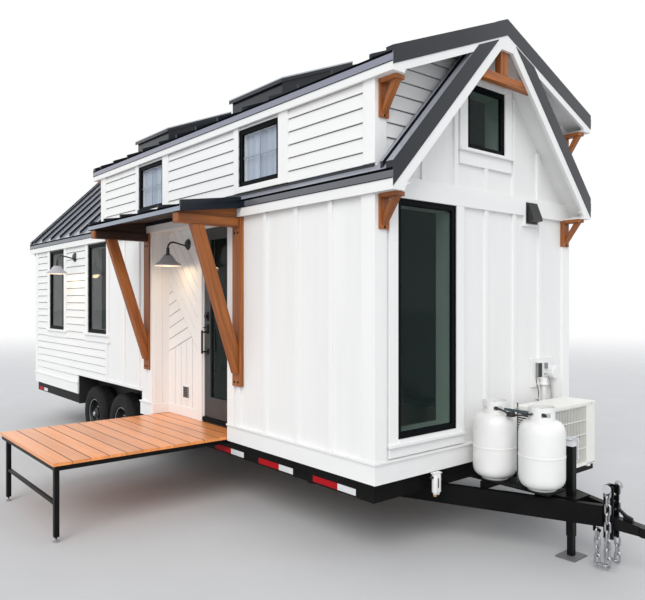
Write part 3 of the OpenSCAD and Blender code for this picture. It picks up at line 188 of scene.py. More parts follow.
def material(name, base, second=None, rough=0.5, rough_vary=0.08, metal=0.0, coat=0.0, alpha=1.0,
             space="object", stretch=6, bump=0.15, bump_size=0.0006, fine=60, gloss=0.5, skin=1.5,
             up=None, zones=(), clear=()):
    """Two tones mixed by a stretched noise, with a finer noise in the height and the roughness.

    Faces turned to the sky carry the colour up, a painted reflection of the sky. A zone is (low corner,
    high corner, colour) in house millimetres, where another colour takes over, and a clear zone is the same
    with an alpha."""
    m, t, shader = blank(name)
    place = coordinates(t, space)

    def noise(scale, detail, roughness):
        scale = scale if isinstance(scale, tuple) else (scale,) * 3
        spot = add(t, "Mapping", {"Scale": scale, "Vector": place})
        return add(t, "TexNoise", {"Scale": 1.0, "Detail": detail, "Roughness": roughness, "Vector": spot})

    def over(colour, factor, top):
        return add(t, "Mix", {"Factor": factor, 6: colour, 7: (*top, 1)}, data_type="RGBA").outputs[2]

    second = second or tuple(c * 0.86 for c in base)
    colour = two_tones(t, noise(stretch, 5.0, 0.55), second, base, 0.32, 0.68)
    # painted reflection: faces turned to the sky are lightened to the colour up
    if up:
        normal = add(t, "NewGeometry").outputs["True Normal"]
        height = add(t, "SeparateXYZ", {0: normal}).outputs["Z"]
        colour = over(colour, calc(t, "GREATER_THAN", height, 0.4), up)
    for lo, hi, other in zones:
        colour = over(colour, inside(t, place, lo, hi), other)
    for lo, hi, other in clear:
        alpha = ranged(t, inside(t, place, lo, hi), alpha, other)
    small = noise(fine, 4.0, 0.6)
    if rough_vary:
        low, high = max(0.02, rough - rough_vary), min(1.0, rough + rough_vary)
        rough = ranged(t, small, low, high, 0.3, 0.7)
    if bump:
        relief = add(t, "Bump", {"Strength": bump, "Distance": bump_size, "Height": small})
        fill(t, shader, {"Normal": relief})
    fill(t, shader, {"Base Color": colour, "Roughness": rough, "Metallic": metal, "Alpha": alpha,
                     "Coat Weight": coat, "Specular IOR Level": gloss})
    if coat:
        fill(t, shader, {"Coat Roughness": 0.15, "Coat IOR": skin})
    m.diffuse_color = (*base, 1)
    return m


def wood(name, light, dark, rough=0.45, coat=0.0, space="grain", tones=(0.74, 1.14)):
    """Stained timber: bands along the grain in two colours, and a tone of its own for each board."""
    m, t, shader = blank(name)
    place = coordinates(t, space)
    spot = add(t, "Mapping", {"Scale": (1.17, 26, 26), "Vector": place})
    if space == "grain":
        tint = add(t, "Attribute", attribute_name="tint").outputs["Fac"]
    else:
        # each deck board has its own place in the pattern
        lo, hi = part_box("deck_boards")
        step = (hi[1] - lo[1] + DECK_GAP) / DECK_BOARDS
        across = add(t, "SeparateXYZ", {0: place}).outputs["Y"]
        count = calc(t, "DIVIDE", calc(t, "SUBTRACT", across, lo[1] - DECK_GAP / 2), step)
        chance = add(t, "TexWhiteNoise", {"W": calc(t, "FLOOR", count)}, noise_dimensions="1D").outputs
        shift = add(t, "VectorMath", {0: chance["Color"], "Scale": 9.0}, operation="SCALE")
        spot = calc(t, "ADD", spot, shift, kind="VectorMath")
        tint = chance["Value"]
    bands = add(t, "TexNoise", {"Scale": 1.0, "Detail": 7.0, "Roughness": 0.62, "Distortion": 0.6,
                                "Vector": spot})
    colour = two_tones(t, bands, dark, light, 0.3, 0.66)
    shade = ranged(t, tint, *tones)
    fill(t, shader, {
        "Base Color": add(t, "VectorMath", {0: colour, "Scale": shade}, operation="SCALE"),
        "Roughness": ranged(t, bands, rough - 0.1, rough + 0.14),
        "Normal": add(t, "Bump", {"Strength": 0.35, "Distance": 0.0012, "Height": bands}),
        "Coat Weight": coat, "Coat Roughness": 0.25})
    m.diffuse_color = (*light, 1)
    return m


def glow(name, colour, strength):
    m = material(name, colour, rough=0.4)
    shader = m.node_tree.nodes["Principled BSDF"]
    fill(m.node_tree, shader, {"Emission Color": (*colour, 1), "Emission Strength": strength})
    return m


def white_paint(name, level, **kw):
    """A white with a little less blue, and the same a shade darker."""
    base = (level, level, level - 0.01)
    return material(name, base, tuple(c - 0.03 for c in base), **kw)


def black_steel(name, rough, gloss, **kw):
    return material(name, (0.003, 0.003, 0.0033), (0.0055, 0.0055, 0.0055), rough=rough, gloss=gloss,
                    bump=0.25, fine=120, **kw)


DARK_STEEL = (0.016, 0.016, 0.017)
SILVER = (0.50, 0.51, 0.53)
# Zones: painted shade on the inside of the cabin, the sill under the door, and painted sky reflections
# lightening the drip edges of the roofs
# painted shade: the inside faces of the cabin's walls and roof deck are near black, for a room lit only
# through its windows
CABIN_PAINTED_SHADE = ((-7501, -1131, 600), (-119, 1131, 4200), (0.05, 0.046, 0.042))
DOOR_SILL = ((-2700, -1078, 600), (-1915, -900, 667.8), (0.012, 0.013, 0.015))
# painted reflection: the drip edges of the eaves are lightened where they would reflect the sky, though they
# are the same metal as the roof
DRIP_SKY_REFLECTIONS = [((-3700, -1899.5, 2500), (-1600, -1885.5, 2700), (0.24, 0.275, 0.33)),
         ((-5200, -1300, 3380), (400, -1294.8, 3500), (0.235, 0.24, 0.30)),
         ((-5200, 1294.8, 3380), (400, 1300, 3488), (0.235, 0.24, 0.30)),
         ((-7900, -1300, 2600), (-4000, -1294.8, 2712), (0.11, 0.13, 0.165)),
         ((-1560, -1300, 2600), (400, -1294.8, 2716), (0.12, 0.125, 0.14)),
         ((-7900, 1294.8, 2600), (400, 1300, 2716), (0.12, 0.125, 0.14))]
SIDING = dict(rough=0.55, bump=0.35, bump_size=0.0012)
PANEL = dict(stretch=(7, 7, 0.8), fine=(150, 150, 8), **SIDING)
EAVES = dict(stretch=(1.2, 6, 6), bump=0.2, bump_size=0.0008, fine=(14, 90, 90))
CASE = dict(rough=0.45, stretch=8, bump_size=0.0004, fine=160)
M = {
    "lap": white_paint("lap_paint", 0.82, space="grain", stretch=(0.7, 9, 9), fine=(9, 170, 170), **SIDING),
    "panel": white_paint("panel_paint", 0.82, zones=[CABIN_PAINTED_SHADE], **PANEL),
    "recess": white_paint("recess_paint", 0.82, **PANEL),
    "trim": white_paint("trim_paint", 0.84, space="grain", stretch=(0.8, 7, 7), bump=0.25,
                        bump_size=0.0008, fine=(10, 150, 150)),
    "jamb": white_paint("jamb_paint", 0.83, stretch=(1.2, 6, 6), bump=0.2, fine=(90, 90, 12),
                        zones=[DOOR_SILL]),
    "board": white_paint("eave_paint", 0.83, **EAVES),
    "soffit": white_paint("soffit_paint", 0.80, zones=[CABIN_PAINTED_SHADE], **EAVES),
    # the roof metal: faces turned up take a lighter colour, a painted reflection of the sky
    "roof": material("roof_metal", (0.012, 0.016, 0.023), (0.008, 0.011, 0.017), rough=0.42, coat=0.9,
                     gloss=0.1, skin=1.38, up=(0.265, 0.273, 0.315), stretch=(2.2, 1.1, 1.1), bump=0.12,
                     bump_size=0.004, fine=(3.0, 2.2, 2.2), zones=DRIP_SKY_REFLECTIONS),
    "frame": material("window_frame", (0.0045, 0.0055, 0.007), rough=0.45, gloss=0.05, bump=0.1,
                      bump_size=0.0003, fine=300),
    "door": material("door_paint", (0.038, 0.040, 0.044), (0.030, 0.032, 0.036), rough=0.4,
                     stretch=(8, 8, 1.2), bump_size=0.0005, fine=(160, 160, 14)),
    "handle": material("handle_metal", (0.012, 0.012, 0.013), rough=0.32, metal=0.4, fine=220),
    "glass": material("dark_glass", (0.012, 0.026, 0.023), (0.010, 0.022, 0.020), rough=0.02,
                      rough_vary=0, gloss=0.2, alpha=0.36, bump=0,
                      clear=[((-3900, -1300, 2800), (-1000, 1300, 3450), 0.10)]),
    "steel": black_steel("frame_steel", 0.45, 0.1, rough_vary=0.1, stretch=5),
    "coupler": black_steel("coupler_steel", 0.36, 0.2, zones=[
        ((1020, -97, 535), (1090, -85, 603), SILVER), ((1020, 85, 535), (1090, 97, 603), SILVER)]),
    "jack": black_steel("jack_steel", 0.40, 0.15, zones=[
        ((600, -110, -5), (900, 110, 10.5), (0.16, 0.16, 0.165)),
        ((600, -110, 841.5), (900, 110, 870), SILVER), ((735, 45, 670), (765, 110, 845), SILVER)]),
    "deck_steel": black_steel("deck_steel", 0.42, 0.15, zones=[
        ((-6000, -4000, -5), (0, -1500, 24), (0.30, 0.30, 0.31))]),
    "bars": material("bar_paint", (0.30, 0.345, 0.40), gloss=0.2, fine=200),
    "zinc": material("zinc_steel", (0.56, 0.57, 0.59), (0.38, 0.39, 0.41), rough=0.38, rough_vary=0.12,
                     metal=1.0, stretch=45, bump_size=0.0004, fine=160),
    "rubber": material("tyre_rubber", (0.007, 0.007, 0.0075), (0.012, 0.012, 0.012), rough=0.78,
                       gloss=0.25, stretch=9, bump=0.4, bump_size=0.0008, fine=170),
    "wheel": material("wheel_paint", (0.018, 0.018, 0.019), (0.030, 0.030, 0.031), rough=0.34,
                      metal=0.35, bump=0.1, bump_size=0.0004, fine=120),
    "well": material("well_sheet", (0.012, 0.012, 0.012), rough=0.7, bump=0.3, bump_size=0.001),
    "ply": material("floor_ply", (0.38, 0.25, 0.14), (0.28, 0.18, 0.10), rough=0.6,
                    stretch=(1.5, 30, 8), fine=(9, 120, 60)),
    "cedar": wood("cedar", (0.43, 0.135, 0.022), (0.165, 0.042, 0.008), rough=0.5),
    # painted shade: a dark copy of the cedar, for the timber in shade under the awning
    "shaded": wood("cedar_painted_shade", (0.048, 0.018, 0.007), (0.020, 0.008, 0.003), rough=0.65),
    "deck": wood("deck_wood", (0.95, 0.365, 0.105), (0.76, 0.240, 0.054), rough=0.34, coat=0.5,
                 space="object", tones=(0.86, 1.08)),
    "tank": material("tank_paint", (0.80, 0.80, 0.79), (0.77, 0.77, 0.755), rough=0.34, stretch=10,
                     bump=0.2, fine=110),
    # painted shade: the inside of the grille's opening in the case is a darker grey
    "unit": material("unit_paint", (0.78, 0.77, 0.73), (0.75, 0.74, 0.70), zones=[
        ((359, 245.5, 492.5), (409, 834.5, 959.5), (0.22, 0.22, 0.215))], **CASE),
    "unit_trim": material("unit_trim_paint", (0.80, 0.79, 0.75), (0.77, 0.76, 0.72), **CASE),
    "blind": material("window_blind", (0.60, 0.67, 0.78), (0.50, 0.575, 0.70), rough=0.7,
                      stretch=(14, 14, 0.6), bump=0.3, fine=(300, 300, 20)),
    "liner": material("liner_paint", (0.60, 0.80, 0.69), (0.52, 0.71, 0.61), stretch=(6, 6, 1),
                      bump=0.2, bump_size=0.0005, fine=(90, 90, 10)),
    # painted shadow: dark grey under the lap boards and in the grooves between the chevron boards
    "seam": material("seam_shadow", (0.17, 0.17, 0.18), (0.14, 0.14, 0.15), rough=0.8, gloss=0.1, fine=90),
    "rim": material("rim_aluminium", (0.55, 0.58, 0.62), rough=0.35, metal=0.4, fine=200),
    "shadow": material("shadow_line", (0.004, 0.0045, 0.006), (0.003, 0.003, 0.004), rough=0.9,
                       gloss=0.0, fine=90),
    "teal": material("bar_zinc", (0.075, 0.11, 0.12), (0.055, 0.085, 0.095), rough=0.45, fine=120),
    "plastic": material("inlet_plastic", (0.79, 0.79, 0.78), (0.74, 0.74, 0.73), rough=0.42, bump=0.1,
                        fine=120),
    "grey": material("grey_plastic", (0.23, 0.235, 0.24), (0.19, 0.195, 0.20), rough=0.45, fine=120),
    "black": material("black_plastic", DARK_STEEL, rough=0.45, fine=140),
    "shade": material("lamp_enamel", (0.40, 0.39, 0.42), (0.34, 0.33, 0.36), rough=0.35, coat=0.2,
                      fine=70, zones=[((-8000, -1700, 2318), (0, -1000, 2600), DARK_STEEL)]),
    "red": material("red_tape", (0.40, 0.004, 0.009), (0.34, 0.003, 0.007), gloss=0.15, fine=200),
    "silver": material("white_tape", (0.72, 0.73, 0.74), (0.62, 0.63, 0.64), rough=0.28, fine=200),
    "brass": material("valve_brass", (0.55, 0.40, 0.16), rough=0.35, metal=1.0, fine=150),
    "bulb": glow("bulb_glass", (1.0, 0.86, 0.62), 2.2),
}

CAD_MATERIALS = {
    "jamb": "door_frame",
    "steel": "trailer_frame tongue axles tank_tray",
    "deck_steel": "deck_frame",
    "coupler": "coupler",
    "jack": "jack_tube jack_leg",
    "bars": "window_bars",
    "zinc": "safety_chains",
    "rubber": "tyre_door_front tyre_door_rear tyre_far_front tyre_far_rear",
    "wheel": "wheel_door_front wheel_door_rear wheel_far_front wheel_far_rear",
    "well": "wheel_wells",
    "ply": "floor",
    "panel": "wall_front wall_rear wall_door_front wall_door_rear wall_far_side dormer_wall_door "
             "dormer_wall_far",
    "recess": "recess_walls dormer_back_wall",
    "board": "fascia_boards barge_boards skirt",
    "soffit": "roof_deck dormer_roof_deck",
    "roof": "roof_metal dormer_roof_metal awning_roof skylights",
    "frame": "window_frames_front window_frames_door window_frames_far",
    "glass": "window_glass door_glass",
    "door": "door_leaf",
    "handle": "door_handle",
    "deck": "deck_boards",
    "cedar": "awning_posts awning_braces awning_beams knee_brackets gable_truss",
    "tank": "gas_tanks",
    "unit": "outdoor_unit",
    "plastic": "inlet_box",
    "shade": "barn_lights",
}


# Mesh building
UP = (0, 0, 1)


def rect(u0, u1, v0, v1):
    return [(u0, v0), (u1, v0), (u1, v1), (u0, v1)]


class Build:
    """Collects closed solids in house millimetres, each with its own grain direction and tint."""

    def __init__(self, seed):
        self.bm = bmesh.new()
        self.grain = self.bm.verts.layers.float_vector.new("grain")
        self.tint = self.bm.verts.layers.float.new("tint")
        self.random = random.Random(seed)

    def solid(self, points, faces, along=None, mat=0, smooth=False):
        pts = [Vector(p) for p in points]
        if along is None:
            span = [max(p[i] for p in pts) - min(p[i] for p in pts) for i in range(3)]
            along = [1.0 if i == span.index(max(span)) else 0.0 for i in range(3)]
        along = Vector(along).normalized()
        side = along.orthogonal().normalized()
        third = along.cross(side)
        shift = Vector([self.random.uniform(0, 40) for _ in range(3)])
        tint = self.random.random()
        verts = []
        for p in pts:
            v = self.bm.verts.new(ORIGIN + p / 1000)
            v[self.grain] = Vector((p.dot(along), p.dot(side), p.dot(third))) / 1000 + shift
            v[self.tint] = tint
            verts.append(v)
        for f in faces:
            face = self.bm.faces.new([verts[i] for i in f])
            face.material_index = mat
            face.smooth = smooth

    def loft(self, ring_a, ring_b, **kw):
        """A solid between two outlines of the same number of points."""
        n = len(ring_a)
        faces = [list(range(n))[::-1], list(range(n, 2 * n))]
        faces += [[i, (i + 1) % n, n + (i + 1) % n, n + i] for i in range(n)]
        self.solid(list(ring_a) + list(ring_b), faces, **kw)

    def box(self, x0, x1, y0, y1, z0, z1, **kw):
        ring = rect(x0, x1, y0, y1)
        self.loft([(*p, z0) for p in ring], [(*p, z1) for p in ring], **kw)

    def prism_x(self, x0, x1, outline, **kw):
        self.loft([(x0, *p) for p in outline], [(x1, *p) for p in outline], **kw)

    def prism_y(self, y0, y1, outline, **kw):
        self.loft([(x, y0, z) for x, z in outline], [(x, y1, z) for x, z in outline], **kw)

    def turned(self, centre, axis, profile, n=32, **kw):
        """A profile of (radius, height) turned round an axis."""
        axis = Vector(axis).normalized()
        u = axis.orthogonal().normalized()
        v = axis.cross(u)
        pts, faces, rings = [], [], []
        for r, h in profile:
            count = n if r else 1
            rings.append(list(range(len(pts), len(pts) + count)))
            for i in range(count):
                a = 2 * math.pi * i / n
                pts.append(Vector(centre) + axis * h + (u * math.cos(a) + v * math.sin(a)) * r)
        for a, b in zip(rings, rings[1:]):
            for i in range(n):
                j = (i + 1) % n
                if len(a) == 1:
                    faces.append([a[0], b[i], b[j]])
                elif len(b) == 1:
                    faces.append([a[i], a[j], b[0]])
                else:
                    faces.append([a[i], a[j], b[j], b[i]])
        if profile[0] != profile[-1]:
            faces += [ends for ends in (rings[0][::-1], rings[-1]) if len(ends) > 1]
        self.solid(pts, faces, smooth=True, along=axis, **kw)

    def rod(self, a, b, r, n=16, **kw):
        """A round bar with eased ends."""
        a, b = Vector(a), Vector(b)
        length = (b - a).length
        c = min(r * 0.2, 1.5)
        self.turned(a, b - a, [(r - c, 0), (r, c), (r, length - c), (r - c, length)], n=n, **kw)

    def tube(self, path, r, n=12, **kw):
        """A round bar along a path of points."""
        path = [Vector(p) for p in path]
        pts, faces = [], []
        u = (path[1] - path[0]).normalized().orthogonal().normalized()
        for i, p in enumerate(path):
            ahead = path[min(i + 1, len(path) - 1)] - path[max(i - 1, 0)]
            t = ahead.normalized()
            u = (u - t * u.dot(t)).normalized()
            v = t.cross(u)
            for k in range(n):
                a = 2 * math.pi * k / n
                pts.append(p + (u * math.cos(a) + v * math.sin(a)) * r)
        for i in range(len(path) - 1):
            for k in range(n):
                j = (k + 1) % n
                faces.append([i * n + k, i * n + j, (i + 1) * n + j, (i + 1) * n + k])
        faces.append(list(range(n))[::-1])
        faces.append([(len(path) - 1) * n + k for k in range(n)])
        self.solid(pts, faces, smooth=True, **kw)

    def bolt(self, centre, axis, r, h):
        """A hexagon head on a washer."""
        self.turned(centre, axis, [(r * 1.5, 0), (r * 1.5, 1.6), (r * 1.4, 2), (0, 2)], n=20)
        self.turned(centre, axis, [(r, 1), (r, h - 1), (r * 0.82, h), (0, h)], n=6)

    def done(self, name, mats, body="house", bevel=0, replaces=()):
        """Makes the piece. The bevel is in millimetres, and replaces names CAD nodes that it stands for."""
        bmesh.ops.recalc_face_normals(self.bm, faces=self.bm.faces)
        for e in self.bm.edges:
            if len(e.link_faces) == 2 and e.calc_face_angle(0) > math.radians(32):
                e.smooth = False
        mesh = bpy.data.meshes.new(name)
        self.bm.to_mesh(mesh)
        self.bm.free()
        obj = put(name, mesh)
        for m in mats.split():
            mesh.materials.append(M[m])
        if bevel:
            mod = obj.modifiers.new("edges", "BEVEL")
            mod.width, mod.segments = bevel / 1000, 2
            mod.limit_method, mod.angle_limit = "ANGLE", math.radians(40)
        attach(obj, body)
        if replaces:
            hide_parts(*replaces)


# A wall face: u along the wall, z up and n out of it
WALLS = {
    "door": lambda u, n, z: (u, -Y_WALL - n, z),
    "far": lambda u, n, z: (u, Y_WALL + n, z),
    "front": lambda u, n, z: (n, u, z),
    "rear": lambda u, n, z: (X_REAR - n, u, z),
    "entry": lambda u, n, z: (u, Y_ENTRY - n, z),
    "dormer_back": lambda u, n, z: (X_DORMER - n, u, z),
    "return_rear": lambda u, n, z: (X_RECESS[0] + n, u, z),
    "return_front": lambda u, n, z: (X_RECESS[1] - n, u, z),
}


# The two sides of the house, with their sign along y
SIDES = (("door", -1), ("far", 1))


def on_wall(build, wall, outline, n0, n1, **kw):
    """A flat piece on a wall: an outline in (u, z) between two distances n from the wall."""
    at = WALLS[wall]
    depth = n1 if callable(n1) else (lambda z: n1)
    build.loft([at(u, n0, z) for u, z in outline], [at(u, depth(z), z) for u, z in outline], **kw)


def strip(build, wall, u0, u1, z0, z1, n1, n0=-1, **kw):
    """An upright rectangle on a wall, n1 thick and let into it by 1 mm unless n0 says otherwise."""
    on_wall(build, wall, rect(u0, u1, z0, z1), n0, n1, **kw)


def strips(build, wall, *spots):
    for spot in spots:
        strip(build, wall, *spot)


def border(build, wall, u0, u1, z0, z1, w, n1, n0, out=0, **kw):
    """Four strips inside the edges of a rectangle, w wide, that reach past it by out."""
    for spot in ((u0 - out, u0 + w, z0, z1), (u1 - w, u1 + out, z0, z1),
                 (u0 + w, u1 - w, z0 - out, z0 + w), (u0 + w, u1 - w, z1 - w, z1 + out)):
        strip(build, wall, *spot, n1, n0, **kw)


def clip(outline, a, b, c):
    """The part of a convex outline where a*u + b*z <= c."""
    out = []
    for i, p in enumerate(outline):
        q = outline[(i + 1) % len(outline)]
        dp, dq = a * p[0] + b * p[1] - c, a * q[0] + b * q[1] - c
        if dp <= 0:
            out.append(p)
        if (dp < 0 < dq) or (dq < 0 < dp):
            k = dp / (dp - dq)
            out.append((p[0] + (q[0] - p[0]) * k, p[1] + (q[1] - p[1]) * k))
    return out if len(out) >= 3 and area(out) > 60 else []


def area(outline):
    return abs(sum(p[0] * q[1] - q[0] * p[1] for p, q in zip(outline, outline[1:] + outline[:1]))) / 2


def without(outline, hole):
    """The parts of an outline that a rectangular hole leaves."""
    u0, u1, z0, z1 = hole
    middle = clip(clip(outline, -1, 0, -u0), 1, 0, u1)
    if not middle or not clip(clip(middle, 0, -1, -z0), 0, 1, z1):
        return [outline]
    sides = [clip(outline, 1, 0, u0), clip(outline, -1, 0, -u1)]
    return [p for p in sides + [clip(middle, 0, 1, z0), clip(middle, 0, -1, -z1)] if p]


def band(outline, low, high, holes):
    """The pieces of an outline between two heights, less its holes."""
    pieces = [clip(clip(outline, 0, -1, -low), 0, 1, high)]
    for hole in holes:
        pieces = [q for p in pieces if p for q in without(p, hole)]
    return [p for p in pieces if p]


def lap(build, wall, outline, holes=(), z0=724, pitch=99.9):
    """Lap boards over an outline, thick at the lower edge, with a painted shadow line below each."""
    row = 0
    while z0 + row * pitch < max(z for _, z in outline):
        low = z0 + row * pitch
        for p in band(outline, low, low + pitch, holes):
            on_wall(build, wall, p, -2, lambda z, low=low: 17 - 13 * (z - low) / pitch)
        if row:
            # painted shadow: a dark band just under each board's lower edge
            for p in band(outline, low - 6.5, low, holes):
                on_wall(build, wall, p, -1, 5.8, mat=1)
        row += 1


def mirrored(outline):
    return [(-u, z) for u, z in reversed(outline)]


def circle(r, i, n, start=0.0):
    """The place of one of n points on a circle."""
    a = start + 2 * math.pi * i / n
    return r * math.cos(a), r * math.sin(a)


# Siding
SIDE_WINDOWS = [(-6939.5, -6304.5, 1428, 2583), (-5369.5, -4734.5, 1428, 2583)]
DORMER_WINDOWS = [(-3790, -3190, 2853, 3358), (-1702, -1102, 2853, 3358)]
FRONT_WINDOW = (-1039.5, -384.5, 865, 2583)
LOFT_WINDOW = (-250, 250, 3047, 3570)
REAR_WINDOW = (-250, 250, 2947, 3470)
DORMER_LAPS = dict(z0=2788, pitch=104.6)


def soffit_z(y):
    """The underside of the front roof at a distance from the middle."""
    return RIDGE_FRONT - 132 - abs(y) * SLOPE_FRONT


def siding():
    b = Build(3)
    well = (WELL[0], WELL[1], 0, WELL[2])
    lower = rect(X_REAR + 80, -4745, SKIRT, FASCIA)
    upper = rect(X_DORMER + 100, -80, DORMER_FOOT, DORMER_FASCIA)
    for wall in ("door", "far"):
        lap(b, wall, lower, SIDE_WINDOWS + [well])
        lap(b, wall, upper, DORMER_WINDOWS, **DORMER_LAPS)
    lap(b, "rear", [(-1170, SKIRT), (1170, SKIRT), (1170, 2730), (0, 3900), (-1170, 2730)], [REAR_WINDOW])
    # the triangles between the main roof and the dormer roof, behind and in front
    y = 1160
    corner = (y, RIDGE - 97 - y * SLOPE_LOW)
    meet = (RIDGE_FRONT - RIDGE + 97) / (SLOPE_FRONT - SLOPE_LOW)
    behind = [(175, RIDGE - 175), (y, RIDGE - y), corner]
    ahead = [(meet, RIDGE_FRONT - meet * SLOPE_FRONT), (y, RIDGE_FRONT - y * SLOPE_FRONT), corner]
    for wall, outline in (("dormer_back", behind), ("front", ahead)):
        lap(b, wall, outline, **DORMER_LAPS)
        lap(b, wall, mirrored(outline), **DORMER_LAPS)
    b.done("lap_siding", "lap seam")


def battens():
    b = Build(4)
    half, depth = 22, 18
    spots = [("door", u, SKIRT, FASCIA) for u in (-1707, -1304, -877, -458)]
    for wall, u in [("door", -4210), ("door", -3800)] + [("far", -4370 + 410 * i) for i in range(11)]:
        spots.append((wall, u, WELL[2] + 30 if u < WELL[1] else SKIRT, FASCIA))
    spots += [("front", u, SKIRT, 2585) for u in (0, 392, 784)]
    spots += [("front", u, 2736, soffit_z(abs(u) + half)) for u in (-760, -384, 384, 760)]
    for wall, u, z0, z1 in spots + [("front", 0, 2736, 2922)]:
        strip(b, wall, u - half, u + half, z0, z1, depth)
    b.done("battens", "trim", bevel=2.0)


def corner_boards(b):
    t = 20
    low, high = (SKIRT, FASCIA, t), (DORMER_FOOT, DORMER_FASCIA, t)
    for wall, s in SIDES:
        strips(b, wall, (-118, t, *low), (X_REAR - t, X_REAR + 98, *low), (-100, t, *high),
               (X_DORMER - t, X_DORMER + 130, *high), (-4766, -4715, WELL[2] + 30, 1330, t),
               (WELL[0] - 8, WELL[1] + 8, WELL[2], WELL[2] + 34, 16))
        a, c = sorted((s * 1250, s * 1152))
        strip(b, "front", a, c, SKIRT, 2585, t)
        strip(b, "rear", a, c, SKIRT, FASCIA + 60, t)
        for face, ridge, fall in (("front", RIDGE_FRONT, SLOPE_FRONT), ("dormer_back", RIDGE, 1)):
            slope = [(1152, ridge - 1152 * fall - 2), (1250, ridge - 1250 * fall - 2),
                     (1250, RIDGE - 98 - 1250 * SLOPE_LOW), (1152, RIDGE - 98 - 1152 * SLOPE_LOW)]
            on_wall(b, face, slope if s > 0 else mirrored(slope), -1, t)
    strips(b, "door", (X_RECESS[1], X_RECESS[1] + 115, *low), (X_RECESS[0] - 92, X_RECESS[0], *low))
    strip(b, "front", -1250 - t, 1250 + t, 2583, 2737, 26)


def casings(b):
    """Two legs, a sill and its apron for each window."""
    leg, apron = 24, 22
    y0, y1, z0, z1 = FRONT_WINDOW
    strips(b, "front", (y0 - 90, y0, 838, 2584, leg), (y1, y1 + 90, 838, 2584, leg),
           (y0 - 100, y1 + 70, 818, 841, 46), (y0 - 2, y1 + 2, 840, z0 + 1, 34),
           (y0 - 90, y1 + 90, SKIRT + 10, 819, apron))
    for a, c in ((-345, -250), (250, 345)):
        on_wall(b, "front", [(a, 3040), (c, 3040), (c, soffit_z(c)), (a, soffit_z(a))], -1, leg)
    strips(b, "front", (-357, 357, 3024, 3048, 46), (-345, 345, 2920, 3025, 21),
           (-252, 252, 3569, 3612, leg))
    low, high = (1402, FASCIA, leg), (DORMER_FOOT, DORMER_FASCIA, leg)
    for wall in ("door", "far"):
        for x0, x1, *_ in SIDE_WINDOWS:
            strips(b, wall, (x0 - 96, x0, *low), (x1, min(x1 + 96, -4666), *low),
                   (x0 - 106, min(x1 + 106, -4654), 1400, 1427, 44),
                   (x0 - 96, min(x1 + 96, -4646), 1318, 1401, apron))
        for x0, x1, *_ in DORMER_WINDOWS:
            strips(b, wall, (x0 - 76, x0, *high), (x1, x1 + 128, *high),
                   (x0 - 4, x1 + 4, DORMER_FOOT, 2852, 30))
    y0, y1, z0, z1 = REAR_WINDOW
    strips(b, "rear", (y0 - 90, y0, z0 - 30, z1 + 90, leg), (y1, y1 + 90, z0 - 30, z1 + 90, leg),
           (y0 - 90, y1 + 90, z1 - 1, z1 + 90, 25), (y0 - 100, y1 + 100, z0 - 28, z0 - 1, 44),
           (y0 - 90, y1 + 90, z0 - 105, z0 - 27, apron))


def trims():
    b = Build(5)
    corner_boards(b)
    casings(b)
    # the casing of the door
    strips(b, "entry", (-2780, -2694, 612, 2600, 30), (-2694, -1892, 2589, 2600, 30),
           (-1926, -1892, 640, 2600, 26))
    b.done("trim_boards", "trim", bevel=2.2)


# Entry
def chevron_boards():
    """Slanting boards beside the door, and upright ones on the return walls."""
    b = Build(6)
    x0, x1, top = X_RECESS[0], -2780, 2600
    field = rect(x0, x1, 716, top)
    rise, fall = 0.347, -1.13
    low, edge = 1306 + rise * 3400, 1945 + fall * 3349
    rising, falling, gap = 126, 165, 3.6
    # painted shade: a dark backing under the boards shows in the grooves between them
    strip(b, "entry", x0 + 1, x1 - 1, 717, top, 13.5, mat=1)

    def board(*cuts):
        outline = field
        for cut in cuts:
            outline = clip(outline, *cut)
        if outline:
            on_wall(b, "entry", outline, -1, 17)

    joints = [x0, -3290, -3161, -3035, -2910, x1]
    for a, c in zip(joints, joints[1:]):
        board((-1, 0, -(a + gap)), (1, 0, c - gap), (-rise, 1, low - gap), (-fall, 1, edge - gap))
    for i in range(7):
        board((rise, -1, -(low + i * rising + gap)), (-rise, 1, low + (i + 1) * rising - gap),
              (-fall, 1, edge - gap))
    for i in range(12):
        board((fall, -1, -(edge + i * falling + gap)), (-fall, 1, edge + (i + 1) * falling - gap))
    strip(b, "entry", x0, x1, 612, 718, 24)
    for a, c in ((-1250, -1152), (-1150, -1052)):
        strip(b, "return_rear", a, c, 716, top, 12)
        strip(b, "return_front", a, c, 640, top, 10)
    strip(b, "return_rear", -1268, -1052, 612, 718, 18)
    b.done("chevron_boards", "trim seam", bevel=2.0)


def louvre_vent():
    b = Build(7)
    for z in (793, 931):
        strip(b, "entry", -3108, -2980, z, z + 22, 24, 10)
    for x in (-3100, -3000):
        strip(b, "entry", x, x + 12, 815, 935, 26, 12, mat=1)
    for z in range(822, 918, 19):
        strip(b, "entry", -3089, -2999, z, z + 4, 24, 14, mat=1)
    strip(b, "entry", -3090, -2998, 815, 935, 18.5, 12, mat=2)
    b.done("louvre_vent", "trim grey black", bevel=0.8)


def threshold():
    b = Build(8)
    b.prism_x(-2692, -1893, [(-1075, 625), (-1050, 625), (-1050, 663), (-1068, 663), (-1075, 656)])
    b.done("threshold", "frame", bevel=1.5)


# Fittings on the front wall
def vent_hood():
    b = Build(9)
    b.prism_y(560, 700, [(34, 2530), (96, 2540), (93, 2568), (48, 2682), (34, 2686)])
    b.box(26, 36, 545, 716, 2516, 2700)
    b.box(-1, 28, 525, 736, 2494, 2722, mat=1)
    b.done("vent_hood", "black trim", bevel=3)


